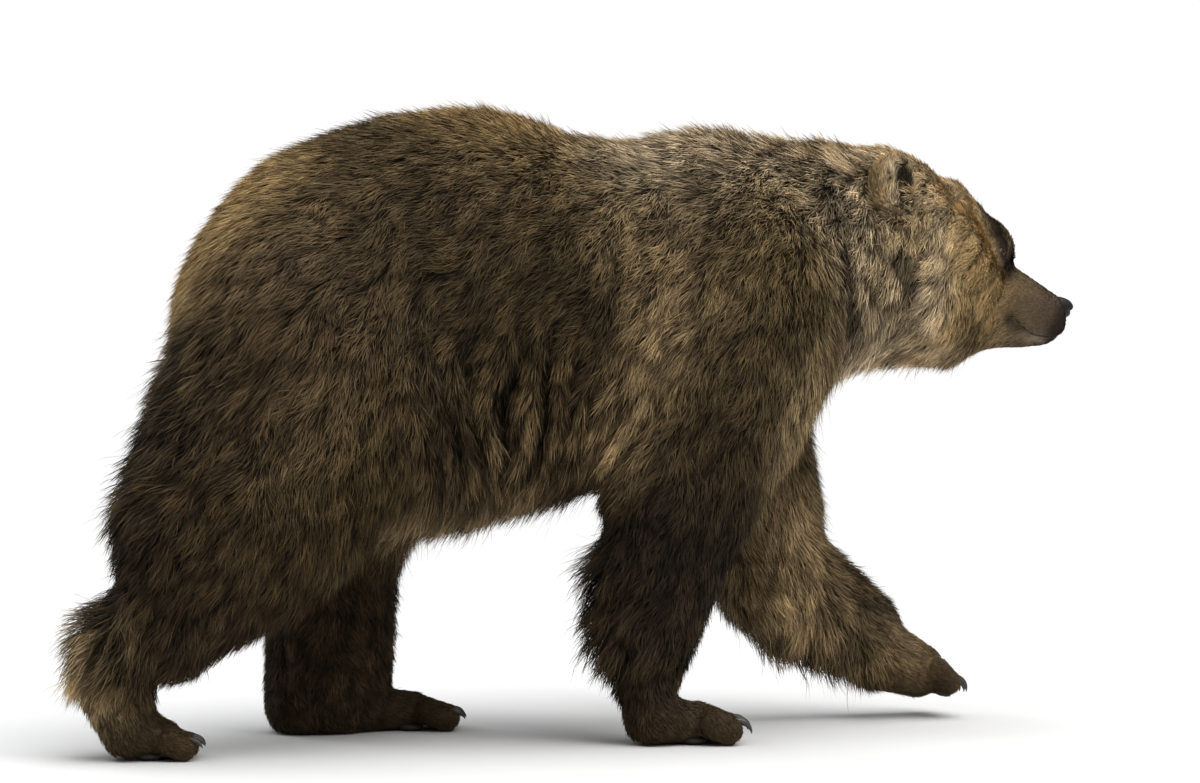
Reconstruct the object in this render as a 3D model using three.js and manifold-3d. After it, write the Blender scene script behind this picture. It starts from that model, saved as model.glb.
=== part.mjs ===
// Brown bear in mid stride, life size, in millimetres, +Z up, nose towards +X, its left towards +Y.
// The body is one smooth field of muscle and coat masses; each named piece is that field,
// polygonised in its own block of space and parted from its neighbours by thin plane cuts.
import * as THREE from 'three';
import { mergeVertices } from 'three/addons/utils/BufferGeometryUtils.js';
import Module from 'manifold-3d';

const wasm = await Module();
wasm.setup();
const { Manifold, Mesh } = wasm;

// ---- driving sizes -------------------------------------------------------------------------
const GAP = 0.4; // air between neighbouring pieces
const HUGE = 4000; // side of the blocks that planes are cut from
const HEAD_PIVOT = [600, 40, 900]; // where the head turns from
const HEAD_TURN = THREE.MathUtils.degToRad(12); // towards the bear's left
const TOE_COUNT = 5;
const TOE_FAN = 0.08; // radians between neighbouring toes
const TOE_TAPER = 0.95;
const TOE_STEP_BACK = 4; // how much each toe falls behind its inner neighbour
const NEWTON_STEPS = 3; // pulls of each vertex on to the field's own surface
const GRADIENT_STEP = 0.5;
const SHORT_EDGE_SHARE = 0.015; // makes short edges go first
const FOLD_LIMIT = 0.5; // cosine of the sharpest turn a triangle may make while thinning

// Grid cell of each kind of piece, and how far thinning may then move its surface.
const GRAIN = {
  trunk: { cell: 50, slack: 9.5 },
  neck: { cell: 38, slack: 6 },
  head: { cell: 19, slack: 3.8 },
  muzzle: { cell: 12, slack: 2.4 },
  upper: { cell: 42, slack: 6.5 },
  lower: { cell: 28, slack: 4.5 },
  foot: { cell: 11, slack: 4.2 },
  tail: { cell: 18, slack: 3 },
  nose: { cell: 9, slack: 1.9 },
};

// Soft unions: how far two masses flow into each other.
const BLEND = { body: 60, crest: 40, head: 30, face: 20, wrist: 50, ankle: 40, paw: 25, toe: 6, nose: 12 };

const EYE = { centre: [149, 61, -34], radius: 13.5, hollowShift: [4, 17, 0], hollow: [19, 18, 13] };
const EAR = {
  centre: [-122, 148, 74],
  outer: [48, 58, 54], // half sizes along the opening, across and up
  hollow: [42, 43, 40],
  hollowShift: [27, 0, 3],
  outward: THREE.MathUtils.degToRad(50), // the opening looks forwards and outwards
  tilt: THREE.MathUtils.degToRad(-10),
};
const NOSTRIL = { centre: [347, 11.5, -130], radius: 5.5, reach: [1.2, 0.8, 1.0] };
const CLAW = {
  fore: { length: 42, radius: 5.6, curl: 1.8 },
  hind: { length: 30, radius: 4.6, curl: 1.5 },
};
const CLAW_SIDES = 5;
const CLAW_RINGS = 3;
const CLAW_DEPTH = 1.25; // claws are deeper than wide
const CLAW_ROOT = 8; // how far a claw starts inside its toe
const CLAW_SEAT = THREE.MathUtils.degToRad(48); // how high on the toe's round end it sits
const CLAW_LIFT = 0.25; // radians by which it first points up

// ---- small vector helpers ------------------------------------------------------------------
const add = (a, b) => [a[0] + b[0], a[1] + b[1], a[2] + b[2]];
const sub = (a, b) => [a[0] - b[0], a[1] - b[1], a[2] - b[2]];
const scale = (a, k) => [a[0] * k, a[1] * k, a[2] * k];
const dot = (a, b) => a[0] * b[0] + a[1] * b[1] + a[2] * b[2];
const unit = (a) => scale(a, 1 / Math.hypot(...a));
const clamp = (x, low, high) => Math.min(Math.max(x, low), high);
const mirrored = (p) => [p[0], -p[1], p[2]];

/** Turn a direction given along the head into body directions. */
function turnToHead([x, y, z]) {
  const c = Math.cos(HEAD_TURN);
  const s = Math.sin(HEAD_TURN);
  return [x * c - y * s, x * s + y * c, z];
}

/** Place a point given in the head's own directions. */
const inHead = (p) => add(HEAD_PIVOT, turnToHead(p));

// ---- masses --------------------------------------------------------------------------------
/** A tapered round mass between two points; wide stretches it sideways. */
function mass(from, to, startRadius, endRadius, blend = BLEND.body, wide = 1, turn = 0) {
  const cos = Math.cos(turn);
  const sin = Math.sin(turn);
  const flatten = ([x, y, z]) => [x * cos + y * sin, (y * cos - x * sin) / wide, z];
  const axis = flatten(sub(to, from));
  const length2 = Math.max(dot(axis, axis), 1e-6);
  const shrink = Math.min(1, wide);
  const distance = (p) => {
    const q = flatten(sub(p, from));
    const t = clamp(dot(q, axis) / length2, 0, 1);
    const off = Math.hypot(q[0] - t * axis[0], q[1] - t * axis[1], q[2] - t * axis[2]);
    return (off - startRadius - t * (endRadius - startRadius)) * shrink;
  };
  return { distance, blend };
}

/** A mass given in the head's own directions. */
function headMass(from, to, startRadius, endRadius, blend = BLEND.head, wide = 1) {
  return mass(inHead(from), inHead(to), startRadius, endRadius, blend, wide, HEAD_TURN);
}

/** The same mass on both sides of the head. */
function headPair(from, to, startRadius, endRadius) {
  const right = headMass(mirrored(from), mirrored(to), startRadius, endRadius);
  return [right, headMass(from, to, startRadius, endRadius)];
}

/** The same mass on both sides of the trunk. */
function bodyPair(from, to, startRadius, endRadius) {
  return [mass(mirrored(from), mirrored(to), startRadius, endRadius), mass(from, to, startRadius, endRadius)];
}

const trunkMasses = [
  mass([-330, 0, 745], [100, 0, 765], 352, 305, BLEND.body, 0.86), // barrel
  mass([-470, 0, 790], [-240, 0, 855], 257, 258, BLEND.body, 0.95), // croup
  ...bodyPair([-530, 85, 720], [-500, 90, 660], 228, 230), // rump
  mass([-330, 0, 600], [20, 0, 670], 245, 215), // belly and its fringe
  mass([120, 0, 700], [230, 0, 720], 270, 230, BLEND.body, 0.9), // chest
  mass([220, 0, 865], [340, 0, 850], 226, 215, BLEND.body, 0.9), // shoulder hump
  mass([250, -120, 800], [170, -150, 600], 175, 160), // right shoulder, swung back
  mass([260, 120, 800], [240, 150, 600], 175, 155), // left shoulder, swung forward
  mass([360, 0, 850], [530, 30, 860], 208, 182, BLEND.body, 0.95), // neck
];

const rightHindMasses = [
  mass([-490, -140, 620], [-600, -165, 430], 205, 185), // thigh
  mass([-660, -120, 640], [-765, -165, 390], 135, 122), // breeches
  mass([-660, -170, 400], [-800, -175, 250], 150, 90), // shank
  mass([-640, -170, 310], [-770, -175, 195], 107, 73), // calf fringe
  mass([-872, -175, 190], [-865, -175, 100], 88, 60, BLEND.ankle), // hock with its tuft
  mass([-845, -175, 48], [-795, -172, 32], 52, 36, BLEND.paw, 1.4), // ball of the foot
];

const leftHindMasses = [
  mass([-450, 140, 620], [-430, 160, 420], 200, 145), // thigh
  mass([-448, 160, 360], [-462, 162, 100], 122, 114), // shank
  mass([-515, 162, 45], [-310, 165, 34], 60, 36, BLEND.paw, 1.4), // sole
];

const rightForeMasses = [
  mass([220, -140, 700], [120, -165, 480], 165, 150), // upper arm
  mass([90, -170, 400], [40, -170, 102], 130, 57, BLEND.wrist), // forearm down to the wrist
  mass([0, -172, 300], [-8, -172, 200], 78, 66, BLEND.ankle, 0.9), // long hair behind the forearm
  mass([50, -170, 44], [125, -168, 34], 50, 38, BLEND.paw, 1.4), // paw
];

const leftForeMasses = [
  mass([260, 130, 660], [330, 150, 400], 150, 135), // upper arm
  mass([370, 150, 270], [540, 155, 175], 125, 72, BLEND.wrist), // forearm
  mass([380, 150, 185], [500, 155, 140], 62, 45, BLEND.ankle, 0.9), // long hair under the forearm
  mass([585, 156, 114], [650, 158, 88], 68, 54, BLEND.head, 1.25), // lifted paw
];

const headMasses = [
  mass([430, 0, 930], [530, 20, 955], 136, 105, BLEND.crest), // crest of the nape
  headMass([-50, 0, -20], [0, 0, -25], 138, 118), // skull
  headMass([52, 0, -4], [141, 0, -34], 114, 78, BLEND.face, 0.9), // forehead
  ...headPair([20, 70, -45], [100, 45, -85], 95, 68), // cheekbones
  ...headPair([-20, 75, -130], [60, 45, -150], 95, 70), // jowls
  headMass([170, 0, -106], [285, 0, -143], 71, 46, 18, 0.95), // muzzle
  headMass([240, 0, -160], [302, 0, -160], 34, 27, BLEND.face, 1.15), // lips
  headMass([90, 0, -165], [275, 0, -172], 62, 28, BLEND.head, 0.95), // lower jaw
  mass([470, 20, 785], [660, 60, 745], 135, 88, BLEND.wrist, 0.9), // throat beard
];

const tailMasses = [mass([-745, 0, 640], [-770, 0, 560], 45, 35)];
const noseMasses = [headMass([328, -10, -128], [328, 10, -128], 21, 21, BLEND.nose)];

// ---- toes ----------------------------------------------------------------------------------
/** Five toes fanned out from the ball of a foot: where each ends and which way it points. */
function toeRow({ ball, pitch, spacing, length, drop }) {
  const forward = [Math.cos(pitch), 0, -Math.sin(pitch)];
  const middle = (TOE_COUNT - 1) / 2;
  const row = [];
  for (let i = 0; i < TOE_COUNT; i += 1) {
    const k = i - middle;
    const fan = TOE_FAN * k;
    const along = add(scale(forward, Math.cos(fan)), [0, Math.sin(fan), 0]);
    const root = add(ball, [0, k * spacing, 0]);
    const reach = length - TOE_STEP_BACK * Math.abs(k) ** 1.5;
    const tip = add(add(root, scale(along, reach)), [0, 0, -drop]);
    row.push({ root, tip, along });
  }
  return row;
}

/** The masses of a row of toes. */
function toeMasses(foot) {
  const round = (toe) => mass(toe.root, toe.tip, foot.radius, foot.radius * TOE_TAPER, BLEND.toe);
  return toeRow(foot).map(round);
}

const FEET = {
  right_hind: { ball: [-790, -172, 34], pitch: 0, spacing: 25, length: 34, radius: 26, drop: 13, claw: CLAW.hind },
  left_hind: { ball: [-290, 165, 35], pitch: 0, spacing: 25, length: 44, radius: 26, drop: 13, claw: CLAW.hind },
  right_fore: { ball: [146, -168, 39], pitch: 0, spacing: 27, length: 35, radius: 30, drop: 13, claw: CLAW.fore },
  left_fore: { ball: [672, 158, 90], pitch: 0.45, spacing: 27, length: 36, radius: 27, drop: 11, claw: CLAW.fore },
};

// ---- the field -----------------------------------------------------------------------------
/** Smooth union of the masses, taken in order: negative inside the coat. */
function fieldOf(masses) {
  return (p) => {
    let total = Infinity;
    for (const { distance, blend } of masses) {
      const d = distance(p);
      const h = total === Infinity ? 0 : clamp(0.5 + (0.5 * (d - total)) / blend, 0, 1);
      const previous = total === Infinity ? 0 : total;
      total = d + (previous - d) * h - blend * h * (1 - h);
    }
    return total;
  };
}

const bodyField = fieldOf([
  ...trunkMasses,
  ...rightHindMasses,
  ...leftHindMasses,
  ...rightForeMasses,
  ...leftForeMasses,
  ...headMasses,
  ...Object.values(FEET).flatMap(toeMasses),
]);

// ---- polygonising --------------------------------------------------------------------------
/** Signed distance to a block, so that every polygonised piece is closed. */
function blockField([low, high]) {
  return (p) => Math.max(...p.map((x, i) => Math.max(low[i] - x, x - high[i])));
}

/** Field values on a regular grid around a block. */
function sampleGrid(field, [low, high], cell) {
  const size = low.map((x, i) => Math.ceil((high[i] - x) / cell) + 5);
  const start = low.map((x) => x - 2 * cell);
  const at = (i, j, k) => [start[0] + i * cell, start[1] + j * cell, start[2] + k * cell];
  const values = new Float64Array(size[0] * size[1] * size[2]);
  const index = (i, j, k) => (i * size[1] + j) * size[2] + k;
  for (let i = 0; i < size[0]; i += 1) {
    for (let j = 0; j < size[1]; j += 1) {
      for (let k = 0; k < size[2]; k += 1) {
        values[index(i, j, k)] = field(at(i, j, k));
      }
    }
  }
  return { size, at, values, index };
}

const CORNERS = [0, 1, 2, 3, 4, 5, 6, 7].map((n) => [n & 1, (n >> 1) & 1, (n >> 2) & 1]);
const EDGES = CORNERS.flatMap((a, n) => [1, 2, 4].filter((bit) => !(n & bit)).map((bit) => [n, n | bit]));

/** The mean crossing point of the surface in one cell, or null where it does not pass. */
function cellPoint(grid, i, j, k) {
  const level = CORNERS.map(([a, b, c]) => grid.values[grid.index(i + a, j + b, k + c)]);
  let sum = [0, 0, 0];
  let count = 0;
  for (const [m, n] of EDGES) {
    if (level[m] < 0 === level[n] < 0) continue;
    const t = level[m] / (level[m] - level[n]);
    const from = CORNERS[m];
    const to = CORNERS[n];
    const crossing = from.map((x, axis) => x + t * (to[axis] - x));
    sum = add(sum, crossing);
    count += 1;
  }
  if (!count) return null;
  const mean = scale(sum, 1 / count);
  const base = grid.at(i, j, k);
  const side = grid.at(1, 0, 0)[0] - grid.at(0, 0, 0)[0];
  return add(base, scale(mean, side));
}

/** Slope of a field by central differences. */
function gradient(field, p) {
  return [0, 1, 2].map((axis) => {
    const step = [0, 0, 0];
    step[axis] = GRADIENT_STEP;
    return (field(add(p, step)) - field(sub(p, step))) / (2 * GRADIENT_STEP);
  });
}

/** Pull a point on to the surface of the field, never further than half a cell. */
function settle(field, point, limit) {
  let p = point;
  for (let n = 0; n < NEWTON_STEPS; n += 1) {
    const slope = gradient(field, p);
    const steep = Math.max(dot(slope, slope), 0.05);
    p = sub(p, scale(slope, field(p) / steep));
  }
  const moved = Math.hypot(...sub(p, point));
  return moved < limit ? p : point;
}

/** Surface nets: one vertex a cell, one quad for each grid edge that crosses the surface. */
function polygonise(field, block, { cell, slack }) {
  const inBlock = blockField(block);
  const grid = sampleGrid((p) => Math.max(field(p), inBlock(p)), block, cell);
  const [nx, ny, nz] = grid.size;
  const ids = new Int32Array(grid.values.length).fill(-1);
  const points = [];
  for (let i = 0; i < nx - 1; i += 1) {
    for (let j = 0; j < ny - 1; j += 1) {
      for (let k = 0; k < nz - 1; k += 1) {
        const p = cellPoint(grid, i, j, k);
        if (!p) continue;
        ids[grid.index(i, j, k)] = points.length;
        points.push(inBlock(p) < -cell ? settle(field, p, cell / 2) : p);
      }
    }
  }
  return thinned(points, quadsOf(grid, ids, points), slack);
}

/** The quads around every crossing grid edge, split along the shorter diagonal. */
function quadsOf(grid, ids, points) {
  const [nx, ny, nz] = grid.size;
  const triangles = [];
  const turns = [[1, 2], [2, 0], [0, 1]];
  for (let i = 1; i < nx - 1; i += 1) {
    for (let j = 1; j < ny - 1; j += 1) {
      for (let k = 1; k < nz - 1; k += 1) {
        const here = grid.values[grid.index(i, j, k)] < 0;
        for (let axis = 0; axis < 3; axis += 1) {
          const next = [i, j, k];
          next[axis] += 1;
          if (here === grid.values[grid.index(...next)] < 0) continue;
          const [u, v] = turns[axis];
          const ring = [[0, 0], [-1, 0], [-1, -1], [0, -1]].map(([a, b]) => {
            const cellAt = [i, j, k];
            cellAt[u] += a;
            cellAt[v] += b;
            return ids[grid.index(...cellAt)];
          });
          triangles.push(...splitQuad(here ? ring : ring.reverse(), points));
        }
      }
    }
  }
  return triangles;
}

/** Plane of a triangle: its unit normal and whether it has any area. */
function facet([a, b, c]) {
  const [ux, uy, uz] = sub(b, a);
  const [vx, vy, vz] = sub(c, a);
  const normal = [uy * vz - uz * vy, uz * vx - ux * vz, ux * vy - uy * vx];
  const size = Math.hypot(...normal);
  return { normal: scale(normal, 1 / Math.max(size, 1e-9)), size };
}

/** How far the surface moves when vertex u is drawn on to its neighbour v; Infinity if it folds. */
function collapseCost(u, v, state) {
  const { points, faces, around } = state;
  const shift = sub(points[v], points[u]);
  let cost = Math.hypot(...shift) * SHORT_EDGE_SHARE;
  for (const id of around[u]) {
    if (faces[id].includes(v)) continue;
    const before = facet(faces[id].map((n) => points[n]));
    const after = facet(faces[id].map((n) => points[n === u ? v : n]));
    if (after.size < 1e-3 || dot(before.normal, after.normal) < FOLD_LIMIT) return Infinity;
    cost = Math.max(cost, Math.abs(dot(before.normal, shift)));
  }
  return cost;
}

const neighboursOf = (u, { faces, around }) => new Set([...around[u]].flatMap((id) => faces[id]).filter((n) => n !== u));

/** The cheapest neighbour to draw a vertex on to, leaving the surface closed. */
function bestCollapse(u, state) {
  const ring = neighboursOf(u, state);
  let best = { cost: Infinity, v: -1 };
  for (const v of ring) {
    const shared = [...neighboursOf(v, state)].filter((n) => ring.has(n)).length;
    if (shared !== 2) continue;
    const cost = collapseCost(u, v, state);
    if (cost < best.cost) best = { cost, v };
  }
  return best;
}

/** Draw vertex u on to v and forget the two triangles between them. */
function collapse(u, v, { faces, around }) {
  for (const id of [...around[u]]) {
    if (faces[id].includes(v)) {
      faces[id].forEach((n) => around[n].delete(id));
      faces[id] = null;
    } else {
      faces[id] = faces[id].map((n) => (n === u ? v : n));
      around[v].add(id);
    }
  }
  around[u].clear();
}

/** Thin out a closed surface where it is nearly flat, never moving it further than the limit. */
function thinned(points, triangles, limit) {
  const faces = [];
  for (let n = 0; n < triangles.length; n += 3) faces.push(triangles.slice(n, n + 3));
  const around = points.map(() => new Set());
  faces.forEach((face, id) => face.forEach((n) => around[n].add(id)));
  const state = { points, faces, around };
  const plans = points.map((_, u) => bestCollapse(u, state));
  for (;;) {
    const u = plans.reduce((low, plan, n) => (plan.cost < plans[low].cost ? n : low), 0);
    const { cost, v } = plans[u];
    if (cost > limit) break;
    collapse(u, v, state);
    plans[u] = { cost: Infinity, v: -1 };
    for (const n of [v, ...neighboursOf(v, state)]) plans[n] = bestCollapse(n, state);
  }
  return packed(points, faces.filter(Boolean));
}

/** Keep only the vertices that are still used. */
function packed(points, faces) {
  const used = [...new Set(faces.flat())];
  const place = new Map(used.map((n, at) => [n, at]));
  return toManifold(used.map((n) => points[n]), faces.flat().map((n) => place.get(n)));
}

/** Two triangles of a quad, along its shorter diagonal. */
function splitQuad([a, b, c, d], points) {
  const ac = Math.hypot(...sub(points[a], points[c]));
  const bd = Math.hypot(...sub(points[b], points[d]));
  return ac < bd ? [a, b, c, a, c, d] : [a, b, d, b, c, d];
}

function toManifold(points, triangles) {
  const mesh = new Mesh({
    numProp: 3,
    vertProperties: Float32Array.from(points.flat()),
    triVerts: Uint32Array.from(triangles),
  });
  return new Manifold(mesh);
}

/** A three.js solid as a manifold. */
function solid(geometry) {
  const bare = geometry.clone();
  bare.deleteAttribute('normal');
  bare.deleteAttribute('uv');
  const merged = mergeVertices(bare, 1e-4);
  const mesh = new Mesh({
    numProp: 3,
    vertProperties: new Float32Array(merged.attributes.position.array),
    triVerts: new Uint32Array(merged.index.array),
  });
  return new Manifold(mesh);
}

// ---- planes and zones ----------------------------------------------------------------------
/** A half space: the side of the plane that its direction points to. */
const plane = (point, direction) => ({ point, direction: unit(direction) });
const headPlane = (point, direction) => plane(inHead(point), turnToHead(direction));
const facing = ({ point, direction }) => ({ point, direction: scale(direction, -1) });

/** Keep what lies inside every half space, standing back from each by half the gap. */
function keep(piece, planes, margin = GAP / 2) {
  const trim = (m, { point, direction }) => m.trimByPlane(direction, dot(point, direction) + margin);
  return planes.reduce(trim, piece);
}

/** The block of space inside some half spaces, grown by half the gap, for taking away. */
function zone(planes) {
  return keep(solid(new THREE.BoxGeometry(HUGE, HUGE, HUGE)), planes, -GAP / 2);
}

const FLOOR = plane([0, 0, -GAP / 2], [0, 0, 1]);
const GROIN = 32; // half width of the strip of belly between the upper legs
const RIGHT = { lower: plane([0, 0, 0], [0, -1, 0]), upper: plane([0, -GROIN, 0], [0, -1, 0]) };
const LEFT = { lower: plane([0, 0, 0], [0, 1, 0]), upper: plane([0, GROIN, 0], [0, 1, 0]) };
const NECK_BASE = plane([450, 0, 620], [0.95, 0, 0.3]);
const HEAD_BACK = headPlane([-160, 0, 150], [0.963, 0, 0.27]);
const MUZZLE_BACK = headPlane([205, 0, -20], [0.98, 0, -0.196]);
const MOUTH = headPlane([190, 0, -158], [-0.229, 0, -0.973]);

const LEGS = {
  right_hind: {
    side: RIGHT,
    top: [plane([-450, -20, 395], [0, -0.63, -0.776]), plane([-330, 0, 520], [-0.9, 0, -0.43])],
    middle: plane([-720, 0, 330], [-0.5, 0, -0.866]),
    bottom: plane([-860, 0, 150], [0.25, 0, -0.968]),
    upperBlock: [[-930, -400, 150], [-230, 60, 800]],
    lowerBlock: [[-1010, -340, 60], [-450, 20, 540]],
    footBlock: [[-1000, -300, -40], [-690, -60, 260]],
  },
  left_hind: {
    side: LEFT,
    top: [plane([-450, 20, 395], [0, 0.63, -0.776]), plane([-250, 0, 420], [-0.93, 0, -0.37])],
    middle: plane([-450, 0, 300], [0, 0, -1]),
    bottom: plane([-470, 0, 112], [0.1, 0, -0.995]),
    upperBlock: [[-930, -60, 150], [-190, 400, 800]],
    lowerBlock: [[-660, 0, 20], [-280, 340, 400]],
    footBlock: [[-640, 60, -40], [-190, 290, 190]],
  },
  right_fore: {
    side: RIGHT,
    top: [plane([150, -20, 462], [0, -0.45, -0.893]), plane([-62, 0, 430], [0.98, 0, 0.2])],
    middle: plane([100, 0, 388], [-0.1, 0, -0.995]),
    bottom: plane([40, 0, 118], [0, 0, -1]),
    upperBlock: [[-120, -390, 300], [420, 60, 700]],
    lowerBlock: [[-105, -330, 30], [300, 30, 480]],
    footBlock: [[-60, -290, -40], [270, -60, 200]],
  },
  left_fore: {
    side: LEFT,
    top: [plane([250, 20, 462], [0, 0.45, -0.893]), plane([60, 0, 430], [0.98, 0, 0.2])],
    middle: plane([370, 0, 330], [0.62, 0, -0.785]),
    bottom: plane([545, 0, 172], [0.86, 0, -0.51]),
    upperBlock: [[50, -60, 60], [540, 400, 700]],
    lowerBlock: [[210, 20, 0], [680, 330, 480]],
    footBlock: [[484, 43, -20], [790, 270, 270]],
  },
};

// ---- materials -----------------------------------------------------------------------------
const COLOURS = {
  coat: 0x54412c,
  shoulder: 0x6b5638,
  face: 0x7d6540,
  leg: 0x33261a,
  muzzle: 0x4b3b2c,
  nose: 0x14110f,
  eye: 0x1b120b,
  claw: 0x2a2622,
};
const ROUGHNESS = { coat: 0.95, nose: 0.45, eye: 0.1, claw: 0.35 };

function surface(colour, roughness = ROUGHNESS.coat) {
  return new THREE.MeshStandardMaterial({ color: colour, roughness, metalness: 0 });
}

// ---- pieces --------------------------------------------------------------------------------
const pieces = [];

/** Add one named closed piece to the bear. */
function addPiece(name, body, material) {
  pieces.push({ name, body, material });
}

/** Take a neighbour away from a piece, with a gap towards each of the ways that the piece faces. */
function clearOf(piece, neighbour, ways) {
  return ways.reduce((rest, way) => rest.subtract(neighbour.translate(scale(way, GAP))), piece);
}

/** The half spaces that part a whole leg from the trunk. */
const upperZone = (leg) => [...leg.top, leg.side.upper];

/** The half spaces around a leg below its middle joint. */
function lowerZone({ side, middle, lowerBlock: [low, high] }) {
  return [side.lower, middle, plane(low, [1, 0, 0]), plane(high, [-1, 0, 0])];
}

function buildLegs() {
  const sources = {};
  for (const [name, leg] of Object.entries(LEGS)) {
    const upper = polygonise(bodyField, leg.upperBlock, GRAIN.upper);
    const lower = polygonise(bodyField, leg.lowerBlock, GRAIN.lower);
    const foot = polygonise(bodyField, leg.footBlock, GRAIN.foot);
    const thigh = largest(keep(upper, [...upperZone(leg), facing(leg.middle)]));
    addPiece(`${name}_upper_leg`, thigh, surface(COLOURS.coat));
    const shank = largest(keep(lower, [...lowerZone(leg), facing(leg.bottom)]));
    addPiece(`${name}_lower_leg`, shank, surface(COLOURS.leg));
    sources[name] = largest(keep(foot, [leg.side.lower, leg.bottom, FLOOR]));
    addPiece(`${name}_foot`, sources[name], surface(COLOURS.leg));
  }
  return sources;
}

/** A claw as rings swept along an arc that curls down to a point. */
function clawGeometry({ length, radius, curl }) {
  const points = [];
  for (let ring = 0; ring < CLAW_RINGS; ring += 1) {
    const t = ring / CLAW_RINGS;
    const angle = curl * t;
    const centre = arcPoint(length, curl, t);
    const size = radius * (1 - t ** 1.6);
    for (let n = 0; n < CLAW_SIDES; n += 1) {
      const turn = (2 * Math.PI * n) / CLAW_SIDES;
      const across = size * Math.cos(turn);
      const up = size * CLAW_DEPTH * Math.sin(turn);
      points.push([centre[0] + up * Math.sin(angle), across, centre[1] + up * Math.cos(angle)]);
    }
  }
  const [tipX, tipZ] = arcPoint(length, curl, 1);
  points.push([tipX, 0, tipZ], [0, 0, 0]);
  return { points, triangles: clawFaces(points.length - 2) };
}

/** A point along a claw's downward arc, as forward and up. */
function arcPoint(length, curl, t) {
  const bend = length / curl;
  return [bend * Math.sin(curl * t), -bend * (1 - Math.cos(curl * t))];
}

/** Faces of the claw's side, its tip and its root. */
function clawFaces(tip) {
  const root = tip + 1;
  const faces = [];
  for (let n = 0; n < CLAW_SIDES; n += 1) {
    const m = (n + 1) % CLAW_SIDES;
    faces.push(root, m, n);
    for (let ring = 0; ring < CLAW_RINGS - 1; ring += 1) {
      const a = ring * CLAW_SIDES;
      const b = a + CLAW_SIDES;
      faces.push(a + n, a + m, b + m, a + n, b + m, b + n);
    }
    const last = (CLAW_RINGS - 1) * CLAW_SIDES;
    faces.push(last + n, last + m, tip);
  }
  return faces;
}

/** Claws of one foot, each cut off where it enters its toe. */
function buildClaws(name, foot, body) {
  const { points, triangles } = clawGeometry(foot.claw);
  toeRow(foot).forEach((toe, i) => {
    const heading = THREE.MathUtils.radToDeg(Math.atan2(toe.along[1], toe.along[0]));
    const dip = THREE.MathUtils.radToDeg(foot.pitch / 2 - CLAW_LIFT);
    const seat = foot.radius * TOE_TAPER - CLAW_ROOT;
    const ahead = scale(toe.along, seat * Math.cos(CLAW_SEAT));
    const start = add(add(toe.tip, ahead), [0, 0, seat * Math.sin(CLAW_SEAT)]);
    const claw = toManifold(points, triangles).rotate([0, dip, heading]).translate(start);
    const ways = [1, -1].map((up) => add(toe.along, [0, 0, up]));
    addPiece(`${name}_claw_${i + 1}`, clearOf(claw, body, ways), surface(COLOURS.claw, ROUGHNESS.claw));
  });
}

/** Sphere with three half sizes. */
function ellipsoid([x, y, z], columns, rows) {
  return solid(new THREE.SphereGeometry(1, columns, rows).rotateX(Math.PI / 2).scale(x, y, z));
}

/** One cupped ear seated on what is behind it, side +1 for the left one. */
function ear(side, seats) {
  const shell = ellipsoid(EAR.outer, 11, 7);
  const hollow = ellipsoid(EAR.hollow, 9, 6).translate(EAR.hollowShift);
  const turn = THREE.MathUtils.radToDeg(side * EAR.outward + HEAD_TURN);
  const cup = shell.subtract(hollow).rotate([0, THREE.MathUtils.radToDeg(EAR.tilt), turn]);
  const place = inHead([EAR.centre[0], side * EAR.centre[1], EAR.centre[2]]);
  const ways = [[1, side, 0.6], [-1, side, 0.6], [0, side, -1]].map(turnToHead);
  return largest(seats.reduce((m, seat) => clearOf(m, seat, ways), cup.translate(place)));
}

/** The biggest connected piece of a solid. */
function largest(body) {
  return body.decompose().reduce((a, b) => (a.volume() > b.volume() ? a : b));
}

function buildHead() {
  const neckMesh = polygonise(bodyField, [[180, -340, 540], [720, 340, 1180]], GRAIN.neck);
  const neck = largest(keep(neckMesh, [NECK_BASE, facing(HEAD_BACK)]));
  addPiece('neck', neck, surface(COLOURS.shoulder));
  const skull = polygonise(bodyField, [[360, -230, 560], [900, 320, 1160]], GRAIN.head);
  const sockets = [-1, 1].flatMap((side) => [eyeBall(side, EYE.radius + GAP), eyeHollow(side)]);
  const head = sockets.reduce((m, s) => m.subtract(s), keep(skull, [HEAD_BACK, facing(MUZZLE_BACK)]));
  addPiece('head', head, surface(COLOURS.face));
  const snout = polygonise(bodyField, [[740, -60, 640], [990, 220, 920]], GRAIN.muzzle);
  const muzzle = keep(snout, [MUZZLE_BACK, facing(MOUTH)]);
  const nose = nosePad();
  const noseWays = [[-1, 0, 1], [-1, 0, -1]].map(turnToHead);
  addPiece('muzzle', clearOf(muzzle, nose, noseWays), surface(COLOURS.muzzle));
  addPiece('lower_jaw', keep(snout, [MUZZLE_BACK, MOUTH]), surface(COLOURS.muzzle));
  const nostrils = [-1, 1].map((side) => nostril(side));
  const pad = nostrils.reduce((m, s) => m.subtract(s), nose);
  addPiece('nose', pad, surface(COLOURS.nose, ROUGHNESS.nose));
  addPiece('ear_right', ear(-1, [head, neck]), surface(COLOURS.face));
  addPiece('ear_left', ear(1, [head, neck]), surface(COLOURS.face));
  addPiece('eye_right', eyeBall(-1, EYE.radius), surface(COLOURS.eye, ROUGHNESS.eye));
  addPiece('eye_left', eyeBall(1, EYE.radius), surface(COLOURS.eye, ROUGHNESS.eye));
}

function eyeBall(side, radius) {
  const place = inHead([EYE.centre[0], side * EYE.centre[1], EYE.centre[2]]);
  return ellipsoid([radius, radius, radius], 9, 6).translate(place);
}

/** The shallow dish in the coat that leaves the eye in view. */
function eyeHollow(side) {
  const centre = add(EYE.centre, EYE.hollowShift);
  const place = inHead([centre[0], side * centre[1], centre[2]]);
  const turn = THREE.MathUtils.radToDeg(HEAD_TURN);
  return ellipsoid(EYE.hollow, 9, 6).rotate([0, 0, turn]).translate(place);
}

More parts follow.
